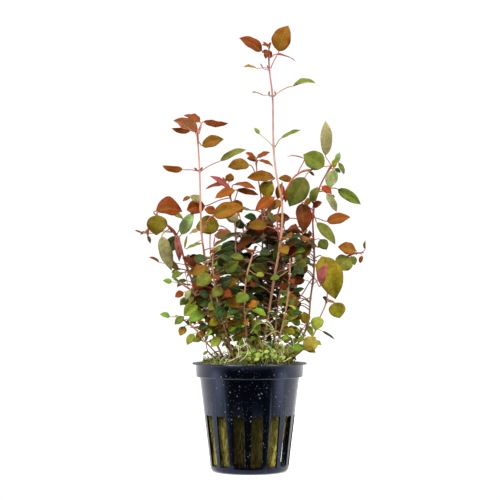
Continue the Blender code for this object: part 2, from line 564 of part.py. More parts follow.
def crown_leaves(routes, placed):
    """The small new leaves round each growing tip."""
    draw = random.Random(SEED + 1)
    grown = []
    for shoot, route in routes.items():
        tip = route[-1]
        way = (route[-1] - route[-2]).normalized()
        for number in range(CROWN_LEAVES):
            turn = math.radians(360 / CROWN_LEAVES * number + draw.uniform(-20, 20))
            side = across(way) * math.cos(turn) + way.cross(across(way)) * math.sin(turn)
            base = tip - way * 0.3 + side * 0.5 + way * 0.5
            length = draw.uniform(2.4, 4.2)
            end = base + (side + way * draw.uniform(0.5, 1.4)).normalized() * length
            tone = "red" if tip.z > 95 else "bright"
            spec = leaf(shoot, tip.z, (0, 0), (0, 0), (0, 0), length * 0.55, 0, tone)
            found = Placed(spec, tip - way * 0.8, base, end, 50)
            if free(found, placed):
                grown.append(found)
                placed.append(("", tree_of(found.solid())))
    return grown


def material(name, colour, roughness):
    made = bpy.data.materials.new(name)
    made.use_nodes = True
    shader = made.node_tree.nodes["Principled BSDF"]
    shader.inputs["Base Color"].default_value = (*colour, 1)
    shader.inputs["Roughness"].default_value = roughness
    shader.inputs["Metallic"].default_value = 0
    return made


def new_object(name, solid, finish, flat_faces=False):
    """An object from points in millimetres and faces, with its faces pointing out."""
    points, faces = solid
    mesh = bpy.data.meshes.new(name)
    mesh.from_pydata([Vector(point) * MM for point in points], [], faces)
    shaped = bmesh.new()
    shaped.from_mesh(mesh)
    if not flat_faces:
        bmesh.ops.triangulate(shaped, faces=shaped.faces)
    bmesh.ops.recalc_face_normals(shaped, faces=shaped.faces)
    shaped.to_mesh(mesh)
    shaped.free()
    mesh.shade_smooth()
    mesh.set_sharp_from_angle(angle=math.radians(40))
    mesh.materials.append(finish)
    made = bpy.data.objects.new(name, mesh)
    bpy.context.scene.collection.objects.link(made)
    return made


def hidden(cutter):
    cutter.hide_render = True
    cutter.display_type = "WIRE"
    return cutter


def pot_profile():
    """The pot's wall as (radius, height), from the middle of its under side to the middle of its floor."""
    return [
        (0, 0), (FOOT_RADIUS - 1.8, 0), (FOOT_RADIUS - 0.5, 0.6), (FOOT_RADIUS, 2.2),
        (SHOULDER_RADIUS, COLLAR_FOOT), (COLLAR_RADIUS - 0.3, COLLAR_FOOT),
        (COLLAR_RADIUS, POT_HEIGHT - 0.6), (RIM_RADIUS, POT_HEIGHT - 0.6), (RIM_RADIUS, POT_HEIGHT),
        (COLLAR_RADIUS - WALL, POT_HEIGHT), (COLLAR_RADIUS - 0.3 - WALL, COLLAR_FOOT + WALL),
        (SHOULDER_RADIUS - WALL, COLLAR_FOOT + WALL), (FOOT_RADIUS - WALL, 2.2 + WALL),
        (FOOT_RADIUS - WALL, FLOOR), (0, FLOOR),
    ]


def turned(profile, sides):
    """Vertices and faces of the profile turned about the Z axis."""
    shaped = bmesh.new()
    points = [shaped.verts.new((radius, 0, height)) for radius, height in profile]
    edges = [shaped.edges.new(pair) for pair in zip(points, points[1:])]
    bmesh.ops.spin(shaped, geom=points + edges, axis=(0, 0, 1), cent=(0, 0, 0), steps=sides,
                   angle=math.tau, use_merge=True)
    bmesh.ops.remove_doubles(shaped, verts=shaped.verts, dist=0.01)
    shaped.verts.index_update()
    points = [vert.co.copy() for vert in shaped.verts]
    solid = points, [tuple(vert.index for vert in face.verts) for face in shaped.faces]
    shaped.free()
    return solid


def block(low, high, turn):
    """A box between two corners, turned about the Z axis by degrees."""
    spin = Matrix.Rotation(math.radians(turn), 3, "Z")
    rings = [[spin @ Vector((x, y, z)) for x, y in
              ((low[0], low[1]), (high[0], low[1]), (high[0], high[1]), (low[0], high[1]))]
             for z in (low[2], high[2])]
    return joined_rings(rings)


def prism(centre, radius, sides):
    """An upright drill through the pot's floor."""
    turns = [math.tau * k / sides for k in range(sides)]
    rings = [[Vector((centre[0] + radius * math.cos(t), centre[1] + radius * math.sin(t), z)) for t in turns]
             for z in (-1, FLOOR + 1)]
    return joined_rings(rings)


def together(solids):
    """Several closed forms as one list of vertices and faces."""
    points, faces = [], []
    for more_points, more_faces in solids:
        shift = len(points)
        points += more_points
        faces += [tuple(index + shift for index in face) for face in more_faces]
    return points, faces


def make_pot(finish):
    pot = new_object("pot", turned(pot_profile(), POT_SIDES), finish, flat_faces=True)
    pitch = 360 / SLOTS
    half = SLOT_WIDTH / 2
    inner, outer = SLOT_REACH
    slots = [block((inner, -half, SLOT_FOOT), (outer, half, SLOT_TOP), FIRST_SLOT + pitch * k)
             for k in range(SLOTS)]
    turns = [math.tau * k / DRAIN_HOLES for k in range(DRAIN_HOLES)]
    drains = [prism((DRAIN_RING * math.cos(t), DRAIN_RING * math.sin(t)), DRAIN_RADIUS, DRAIN_SIDES)
              for t in turns]
    cut = pot.modifiers.new("slots and drain holes", "BOOLEAN")
    cut.operation = "DIFFERENCE"
    cut.object = hidden(new_object("pot_cutter", together(slots + drains), finish, flat_faces=True))
    return pot


def plug_radius(height, turn):
    """The plug's side: it leans to the left of the pot and leaves a gap on the right below."""
    share = (height - PLUG_FOOT) / (PLUG_TOP - PLUG_FOOT)
    radius = 14.4 + 6.2 * share
    return radius + 0.5 * noise.noise(Vector((math.cos(turn) * 3, math.sin(turn) * 3, height / 6)))


def make_plug(finish):
    sides = 20
    rings = []
    for height in (PLUG_FOOT, 9, 18, 27, 36, PLUG_TOP):
        lean = -1.7 * (1 - height / PLUG_TOP)
        turns = [math.tau * k / sides for k in range(sides)]
        rings.append([Vector((lean + plug_radius(height, t) * math.cos(t),
                              plug_radius(height, t) * math.sin(t), height)) for t in turns])
    return new_object("rock_wool", joined_rings(rings), finish)


def mat_solid():
    """The root mat: a flat under side, and rings of lumps that rise to its middle."""
    sides = 22
    turns = [math.tau * k / sides for k in range(sides)]
    rings = [[Vector((radius * math.cos(t), radius * math.sin(t), MAT_FOOT)) for t in turns]
             for radius in (8, MAT_RADIUS)]
    for share in (1, 0.8, 0.55, 0.25):
        radius = MAT_RADIUS * share
        rings.append([Vector((radius * math.cos(t), radius * math.sin(t),
                              mat_height(radius * math.cos(t), radius * math.sin(t)))) for t in turns])
    return joined_rings(rings, Vector((0, 0, mat_height(0, 0))))


def tuft(place, height, lean):
    """A pointed tuft of young growth that leans as it rises from the root mat."""
    turns = [math.tau * k / TUFT_SIDES for k in range(TUFT_SIDES)]
    foot = mat_height(place.x, place.y) - 1
    ring = [place + Vector((TUFT_RADIUS * math.cos(t), TUFT_RADIUS * math.sin(t), foot)) for t in turns]
    return joined_rings([ring], place + lean + UP * (foot + height))


def tufts(placed):
    """Tufts spread over the root mat, clear of the stems and of the moss cushion."""
    draw = random.Random(SEED + 2)
    grown = []
    while len(grown) < TUFTS:
        turn = draw.uniform(0, math.tau)
        reach = draw.uniform(*TUFT_REACH)
        place = Vector((math.cos(turn), math.sin(turn), 0)) * reach
        if place.x < CUSHION_EDGE:
            continue
        lean = Vector((draw.uniform(-3, 3), draw.uniform(-3, 3), 0))
        found = tuft(place, draw.uniform(*TUFT_HEIGHT), lean)
        tree = tree_of(found)
        if not any(tree.overlap(other) for _, other in placed):
            grown.append(found)
            placed.append(("root_mat", tree))
    return grown


def joined(name, core, additions, finish):
    """A closed form with others joined to it, as one piece."""
    made = new_object(name, core, finish)
    for number, addition in enumerate(additions):
        part = hidden(new_object(f"{name}.{number:02d}", addition, finish))
        join = made.modifiers.new(f"addition {number}", "BOOLEAN")
        join.operation = "UNION"
        join.object = part
        join.solver = "MANIFOLD"
    return made


def main():
    for thing in list(bpy.data.objects):
        bpy.data.objects.remove(thing)
    finishes = {tone: material(f"leaf {tone}", colour, 0.4) for tone, colour in TONES.items()}
    stem_finish = material("stem", (0.50, 0.16, 0.12), 0.4)
    make_pot(material("pot plastic", (0.012, 0.013, 0.028), 0.3))
    make_plug(material("rock wool", (0.28, 0.25, 0.06), 0.95))
    mat = mat_solid()
    routes = {shoot: route_of(shoot) for shoot in STEMS}
    stems = {shoot: stem_solid(shoot) for shoot in STEMS}
    placed = [(shoot, tree_of(stem)) for shoot, stem in stems.items()]
    joined("root_mat", mat, tufts(placed), material("root mat", (0.08, 0.12, 0.02), 0.95))
    placed.append(("root_mat", tree_of(mat)))
    placed.append(("pot", tree_of(turned(pot_profile(), POT_SIDES))))
    grown = table_leaves(routes, placed)
    grown += paired_leaves(routes, placed)
    grown += crown_leaves(routes, placed)

    for found in grown:
        if found.spec.name:
            new_object(found.spec.name, found.solid(), finishes[found.spec.tone])
    for shoot, stem in stems.items():
        small = [found for found in grown if found.spec.shoot == shoot and not found.spec.name]
        joined(shoot, stem, [found.solid() for found in small], stem_finish)


main()
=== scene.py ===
# %% [markdown]
# A potted Ludwigia repens, a red and green stem plant for aquariums, in the black net pot that it is sold in.
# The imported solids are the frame: they say where each shoot, leaf and the pot are, and they are never moved.
# This lesson dresses them. It models one leaf blade and one tube by hand, copies them along the same plan
# that the solids were grown from, then makes the roots, the moss, the wool and the pot, and lights them.

# %% The frame
import collections
import itertools
import math
import random

import bmesh
import bpy
import numpy as np
from mathutils import Matrix, Vector, noise
from mathutils.bvhtree import BVHTree


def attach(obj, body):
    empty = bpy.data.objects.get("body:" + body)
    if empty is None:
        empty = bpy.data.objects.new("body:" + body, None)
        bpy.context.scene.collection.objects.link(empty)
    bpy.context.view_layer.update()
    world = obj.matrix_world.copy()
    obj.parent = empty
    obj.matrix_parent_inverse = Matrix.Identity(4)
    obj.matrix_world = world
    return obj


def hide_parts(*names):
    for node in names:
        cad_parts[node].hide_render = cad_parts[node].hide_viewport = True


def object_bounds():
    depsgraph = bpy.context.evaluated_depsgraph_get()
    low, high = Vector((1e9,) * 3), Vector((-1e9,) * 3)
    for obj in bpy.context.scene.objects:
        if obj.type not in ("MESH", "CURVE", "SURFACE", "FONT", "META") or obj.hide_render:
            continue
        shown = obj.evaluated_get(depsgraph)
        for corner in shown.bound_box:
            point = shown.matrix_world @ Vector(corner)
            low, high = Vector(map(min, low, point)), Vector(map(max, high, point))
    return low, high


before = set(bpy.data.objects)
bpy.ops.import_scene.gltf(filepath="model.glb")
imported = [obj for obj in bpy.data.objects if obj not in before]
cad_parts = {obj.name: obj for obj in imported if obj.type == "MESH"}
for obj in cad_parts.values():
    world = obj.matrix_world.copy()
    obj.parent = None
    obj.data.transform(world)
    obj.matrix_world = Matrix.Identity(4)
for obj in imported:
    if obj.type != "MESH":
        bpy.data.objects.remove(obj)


def in_mm(box):
    return [[round(value * 1000, 1) for value in corner] for corner in box]


cad_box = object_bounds()
bpy.ops.object.select_all(action="DESELECT")
print("frame:", len(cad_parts), "solids, box in mm:", in_mm(cad_box))

# %% [markdown]
# Every finish here is worked out by shader nodes, so that it holds from all sides and at any distance.
# Adding nodes one by one hides the idea behind them. A small class wraps a node's socket instead, so that
# shader maths reads as Python: 1 - mask or noise * 0.4 adds the Math nodes that work it out.

# %% Shader maths
class Wire:
    """One output of a node. Sums, differences and products of wires add Math nodes."""

    def __init__(self, tree, socket):
        self.tree = tree
        self.socket = socket

    def math(self, operation, *others):
        values = dict(enumerate((self, *others)))
        return self.tree.add("ShaderNodeMath", {"operation": operation}, values)

    def __add__(self, other):
        return self.math("ADD", other)

    def __mul__(self, other):
        return self.math("MULTIPLY", other)

    def __sub__(self, other):
        return self.math("SUBTRACT", other)

    def __rsub__(self, other):
        return self * -1 + other

    def __abs__(self):
        return self.math("ABSOLUTE")

    __radd__ = __add__
    __rmul__ = __mul__

    def fraction(self):
        return self.math("FRACT")

    def between(self, low, high):
        """0 below the low value, 1 above the high one, and smooth in between."""
        values = {"Value": self, "From Min": low, "From Max": high}
        return self.tree.add("ShaderNodeMapRange", {"interpolation_type": "SMOOTHSTEP"}, values)


class Tree:
    """The nodes of a material or a world, and one method that adds any node to them."""

    def __init__(self, owner):
        owner.use_nodes = True
        self.nodes = owner.node_tree.nodes
        self.links = owner.node_tree.links

    def feed(self, socket, value):
        if isinstance(value, Wire):
            self.links.new(value.socket, socket)
        else:
            socket.default_value = value

    def add(self, kind, settings=None, values=None, output=None):
        """A node of this kind: its settings first, then what goes into its sockets."""
        node = self.nodes.new(kind)
        for name, value in (settings or {}).items():
            setattr(node, name, value)
        sockets = [socket for socket in node.inputs if socket.enabled]
        for name, value in (values or {}).items():
            by_name = [socket for socket in sockets if socket.name == name]
            self.feed(by_name[0] if by_name else sockets[name], value)
        given = [socket for socket in node.outputs if socket.enabled]
        return Wire(self, node.outputs[output] if output else given[0])

    def split(self, vector):
        """The three numbers of a vector."""
        node = self.add("ShaderNodeSeparateXYZ", None, {"Vector": vector}).socket.node
        return [Wire(self, socket) for socket in node.outputs]


class Finish(Tree):
    """A material with the Principled shader, and the patterns that these finishes are made of."""

    def __init__(self, name, gloss, gloss_tint=(1, 1, 1), glow=0.0):
        self.made = bpy.data.materials.new(name)
        super().__init__(self.made)
        self.sockets = self.nodes["Principled BSDF"].inputs
        self.sockets["Specular IOR Level"].default_value = gloss
        self.sockets["Specular Tint"].default_value = (*gloss_tint, 1)
        self.sockets["Emission Color"].default_value = (1, 1, 1, 1)
        self.sockets["Emission Strength"].default_value = glow

    def place(self):
        """Where on the object a point is, in metres."""
        return self.add("ShaderNodeTexCoord", output="Object")

    def attribute(self, name, output="Vector"):
        return self.add("ShaderNodeAttribute", {"attribute_name": name}, output=output)

    def cloud(self, scale, detail=3.0, place=None, rough=0.5):
        """Soft noise from 0 to 1. The scale is in lumps for each metre."""
        values = {"Vector": place or self.place(), "Scale": scale, "Detail": detail, "Roughness": rough}
        return self.add("ShaderNodeTexNoise", None, values)

    def dots(self, scale, size, place=None):
        """Round dots, 1 in their middles, on a scale in dots for each metre."""
        values = {"Vector": place or self.place(), "Scale": scale}
        return 1 - self.add("ShaderNodeTexVoronoi", None, values, "Distance").between(size * 0.5, size)

    def mix(self, mask, first, second):
        """The first colour where the mask is 0, the second where it is 1."""
        values = {"Factor": mask, "A": self.colour(first), "B": self.colour(second)}
        return self.add("ShaderNodeMix", {"data_type": "RGBA"}, values)

    def scaled(self, colour, factor):
        """The colour made darker or lighter by a factor."""
        return self.add("ShaderNodeVectorMath", {"operation": "SCALE"}, {"Vector": colour, "Scale": factor})

    @staticmethod
    def colour(value):
        return value if isinstance(value, Wire) else (*value, 1)

    def bump(self, height, depth):
        """Fine relief from a height of 0 to 1, its depth in metres."""
        relief = self.add("ShaderNodeBump", None, {"Strength": 1.0, "Distance": depth, "Height": height})
        self.feed(self.sockets["Normal"], relief)

    def coat(self, colour, roughness):
        """The surface's colour and how rough it is."""
        self.feed(self.sockets["Base Color"], colour)
        self.feed(self.sockets["Roughness"], roughness)
        return self.made


print("shader maths: ready")

# %% [markdown]
# The leaves of this plant are green while young and shaded, and turn olive, orange and red towards the
# light. The upper face has a paler midrib with side veins and fine pale stomata dots, the margin is often
# red, and the under side is a dull pink. Each tone could have a material, but then no two leaves of a tone
# would differ. One material reads each leaf's own tint and blush from its mesh instead, and where on the
# blade a point is. Across the blade that is 0 at the midrib and 1 at the margin.

# %% Leaf finish
VEINS = 7.0
VEIN_SLANT = 0.30
VEIN_WAVE = 0.05
VEIN_LINE = (0.80, 0.99)
VEIN_END = (0.7, 0.98)
RIB_HALF = (0.01, 0.08)
MARGIN = (0.78, 1.0)
MARGIN_BLUSH = 0.22
# How strongly each mark shows
MOTTLING = 1.15
CORE_SHOWN = 0.75
RUST_SHOWN = 0.42
VEIN_SHOWN = 0.30
RIB_SHOWN = 0.36
STOMATA_SHOWN = 0.12
UNDER_SHOWN = 0.5
LEAF_RELIEF = 0.00008
# The marks' colours
BLUSH_RED = (0.125, 0.012, 0.002)
RUST = (0.085, 0.034, 0.005)
CORE_GREEN = (0.105, 0.095, 0.008)
RIB_GREEN = (0.17, 0.18, 0.04)
RIB_RED = (0.22, 0.06, 0.02)
UNDER_PINK = (0.30, 0.12, 0.045)
STOMATA = (0.25, 0.20, 0.045)


def leaf_finish():
    leaf = Finish("leaf", 0.10, (1.0, 0.80, 0.45))
    tint = leaf.attribute("tint", "Color")
    across, along, under = leaf.split(leaf.attribute("blade"))
    blush, number, shade = leaf.split(leaf.attribute("nature"))
    broad = leaf.cloud(190, 2)
    fine = leaf.cloud(900, 3)
    side = abs(across)
    run = (along - side * VEIN_SLANT + (broad - 0.5) * VEIN_WAVE) * VEINS + number
    vein = abs(run.fraction() * 2 - 1).between(*VEIN_LINE) * (1 - side.between(*VEIN_END))
    rib = 1 - side.between(*RIB_HALF)
    margin = side.between(*MARGIN)
    green = leaf.scaled(tint, broad * MOTTLING + fine * MOTTLING - 0.13)
    core = (1 - side.between(0.1, 0.8)) * (1 - along.between(0.25, 0.9)) * broad.between(0.38, 0.60)
    green = leaf.mix(core * blush.between(0.2, 0.5) * CORE_SHOWN, green, CORE_GREEN)
    rust = leaf.cloud(420, 3).between(0.47, 0.66) * blush.between(0.03, 0.16)
    green = leaf.mix(rust * RUST_SHOWN, green, RUST)
    reddened = (blush * (broad * 3.2 - 0.85) + margin * (blush * 1.1 + MARGIN_BLUSH)).between(0.2, 1.1)
    colour = leaf.mix(reddened, green, BLUSH_RED)
    colour = leaf.mix(vein * VEIN_SHOWN, colour, leaf.scaled(tint, 1.7))
    colour = leaf.mix(rib * RIB_SHOWN, colour, leaf.mix(blush.between(0.2, 0.6), RIB_GREEN, RIB_RED))
    colour = leaf.mix(leaf.dots(2200, 0.20) * STOMATA_SHOWN, colour, STOMATA)
    colour = leaf.mix(under * UNDER_SHOWN, colour, UNDER_PINK)
    leaf.bump(fine * 0.25 + (1 - vein) * 0.5 + (1 - rib) * 0.6, LEAF_RELIEF)
    # The colour is scaled by the mesh's painted light and shade: darker where a leaf is in the bush's shade,
    # lighter where light comes through it.
    return leaf.coat(leaf.scaled(colour, shade), 0.42 + fine * 0.22)


LEAF = leaf_finish()
print("leaf finish:", len(LEAF.node_tree.nodes), "nodes")

# %% [markdown]
# The stems are glossy and round. The upper ones and the leaf stalks are pink to red, the old ones near the
# pot are a pale tan. Fine streaks run along them. The tint comes from the mesh, as on the leaves.

# %% Stem finish
STEM_RELIEF = 0.00006


def stem_finish():
    stem = Finish("stem", 0.2, (1.0, 0.80, 0.60))
    tint = stem.attribute("tint", "Color")
    streak = stem.cloud(2.5, 3, stem.attribute("blade"))
    patch = stem.cloud(260, 2)
    # The tint from the mesh holds the stems' painted light and shade as well.
    colour = stem.scaled(tint, streak * 0.5 + patch * 0.7 + 0.4)
    stem.bump(streak, STEM_RELIEF)
    return stem.coat(colour, 0.28 + patch * 0.2)


STEM = stem_finish()
print("stem finish:", len(STEM.node_tree.nodes), "nodes")

# %% [markdown]
# The plan of the plant says where everything grows. Each stem is a short list of points that was chosen
# against the photograph, and each large leaf has a line with its stalk's height, its blade's two ends,
# its width and its roll. The small paired leaves follow a rule with a fixed seed. The solids of the frame
# were grown from this same plan, so repeating it here gives every fine leaf its own solid's place. Lengths
# are in millimetres.

# %% The pot's and the filling's sizes
MM = 0.001
UP = Vector((0, 0, 1))

# The net pot
RIM_RADIUS = 26.0
POT_HEIGHT = 48.6
COLLAR_RADIUS = 24.4
COLLAR_FOOT = 42.3
SHOULDER_RADIUS = 22.5
FOOT_RADIUS = 17.7
WALL = 0.9
FLOOR = 1.2
SLOTS = 15
SLOT_WIDTH = 5.2
SLOT_FOOT = 2.7
SLOT_TOP = 25.5
FIRST_SLOT = -80.0
DRAIN_HOLES = 6
DRAIN_RING = 10.5
DRAIN_RADIUS = 2.4

# What fills the pot
PLUG_FOOT = 2.2
PLUG_TOP = 45.4
MAT_FOOT = 45.9
MAT_RADIUS = 22.4
MAT_TOP = 49.3
CUSHION = (-12, -6)
CUSHION_RISE = 2.6
CUSHION_EDGE = -7.0
TUFTS = 16
TUFT_RADIUS = 1.0
TUFT_REACH = (4.0, 20.0)
TUFT_HEIGHT = (4.0, 10.0)
TUFT_SIDES = 4

# %% How the plant grows
STALK = 0.42
STALK_EARLY = 0.35
STALK_LIFT = 0.12
STALK_LATE = 0.3
HALF_THICK = 0.33
STEM_SIDES = 4
STEM_TAPER = 0.4
STEM_GAP = 0.35
STEM_LIFT = 0.4
SPARE = 0.35
BOW = 0.07
EYE_DISTANCE = 650.0
EYE_HEIGHT = 78.0
LEAF_SECTIONS = (0.18, 0.48, 0.8)
SMALL_SECTIONS = (0.28, 0.7)
PAIRED_SECTIONS = (0.42,)
CROWN_LEAVES = 2
RED_CROWN = 95
TINY_LENGTH = 5.4
DEPTH_TRIES = (0, -2, 2, -4, 4, -6, 6, -9, 9, -12, 12)
TURN_TRIES = (0, 25, -25, 50, -50, 80)
SEED = 11
SHARP_BEND = math.radians(60)

# %% The stems
# Each shoot's stem: its thickness and the points it grows through, from the root mat up
STEMS = {
    "shoot_tall": (1.25, [
        (5, -6, 50), (7, -8, 62), (8.8, -9, 72), (11.5, -9, 88.5), (13.6, -9, 100), (14.8, -9, 112),
        (14.6, -8, 122), (12.2, -6, 134), (10.9, -4, 147), (10.5, -3, 169), (9, -3, 182), (8.8, -3, 192)]),
    "shoot_left_tall": (1.1, [
        (-8, -3, 50), (-11.5, -3, 60), (-15.7, -4, 72), (-18.8, -7, 85), (-20.6, -8, 98), (-21.8, -8, 107),
        (-22.2, -8, 116), (-22.7, -7, 135), (-23.5, -6, 149), (-23.6, -6, 155)]),
    "shoot_left_arch": (1.3, [
        (-12, 5, 50), (-17, 8, 62), (-23, 9, 78), (-28.5, 6, 92), (-33, 2, 105.5), (-37.6, -1, 111),
        (-43, -1, 111.5), (-47.5, -1, 107.5)]),
    "shoot_middle": (1.0, [
        (1, 3, 50), (2.5, 6, 62), (4, 9, 78), (5.5, 9, 95), (6, 8, 110), (5.2, 6, 124),
        (3.4, 4, 135), (2.9, 3, 141.5)]),
    "shoot_middle_left": (1.0, [
        (-3, -1, 50), (-4.5, 0, 62), (-5, 1, 80), (-6, 1, 98), (-6.7, 0, 112), (-8.6, -2, 123),
        (-11, -3, 130)]),
    "shoot_right": (1.15, [
        (14, 3, 50), (20, 4, 55), (24.4, 3, 61), (26.8, 2, 68), (27.7, 1, 78), (29, 0, 87),
        (29.4, -1, 96), (29, -2, 106), (28.9, -2, 116), (31.4, -2, 127), (36, -2, 136), (39.5, -2, 140.5)]),
    "shoot_right_arch": (1.1, [
        (10, -1, 50), (11.5, -1, 60), (12, -1, 68), (13.4, -1, 78), (15.4, -1, 88), (15, -1, 97),
        (13, -2, 108), (12.7, -2, 115), (15.3, -3, 123.5), (19.1, -4, 131.5), (24, -5, 135.4),
        (28.5, -6, 136)]),
    "shoot_far_right": (1.0, [
        (17, -5, 50), (24, -7, 54.5), (29.4, -6, 62), (31.5, -4, 68), (34.8, -2, 76), (36, 1, 85),
        (40, 4, 93), (46, 4, 97.5), (52, 3, 98.5)]),
    "shoot_low_left": (1.0, [
        (-9, -7, 50), (-13.6, -9, 63.5), (-19.5, -10, 72.5), (-25.7, -10, 80.6), (-32, -10, 85)]),
    "shoot_low_left_front": (0.85, [
        (-14, -9, 50), (-19, -13, 57), (-25, -15, 64), (-31, -15, 68.5), (-35, -14, 69.6)]),
    "shoot_front_left": (0.95, [
        (-7, -12, 50), (-10.5, -16, 62), (-14.5, -20, 76), (-16.5, -21, 90), (-16.4, -20, 101)]),
    "shoot_front": (0.95, [
        (0, -12, 50), (-1.5, -17, 62), (-2.5, -22, 76), (-1, -23, 89), (2, -22, 99)]),
    "shoot_front_right": (0.95, [
        (11, -12, 50), (13.6, -17, 60), (16.6, -20, 73), (18, -21, 85), (18.4, -20, 96)]),
    "shoot_back_left": (1.0, [
        (-8, 12, 50), (-12, 18, 68), (-16, 24, 86), (-18, 27, 102), (-17, 28, 114)]),
    "shoot_back": (1.0, [
        (0, 14, 50), (1, 22, 68), (1, 29, 86), (-2, 34, 104), (-5, 36, 117)]),
    "shoot_back_right": (1.0, [
        (9, 12, 50), (13, 18, 66), (19, 24, 82), (23, 29, 100), (25, 31, 114)]),
    "sprig_left": (0.7, [(-16, -1, 50), (-19, -3, 54), (-20, -5, 60)]),
    "sprig_front": (0.7, [(6, -14, 50), (6, -18, 54), (4, -20, 61)]),
    "sprig_right": (0.7, [(18, 7, 50), (20, 9, 55), (21, 10, 62)]),
}

# %% The leaves that show one by one
FOLD = 14
LEAF_FIELDS = "shoot at base tip depth width roll tone name fold"
Leaf = collections.namedtuple("Leaf", LEAF_FIELDS, defaults=("", FOLD))


def by_shoot(table):
    """The leaves of a table, where a shoot's name stands before the rows of its leaves.

    A row has the height that the stalk leaves the stem at, the blade's base and tip as (x, z), the depths of
    both, its width, how far its upper face is rolled from the front towards the sky, its tone, its name if
    it is a piece of its own, and its fold if that isn't the usual one.
    """
    leaves = []
    for row in table:
        if isinstance(row, str):
            shoot = row
        else:
            leaves.append(Leaf(shoot, *row))
    return leaves


def rule_leaf(shoot, at, width, tone):
    """A small leaf whose place comes from a rule."""
    return Leaf(shoot, at, None, None, None, width, 0, tone)


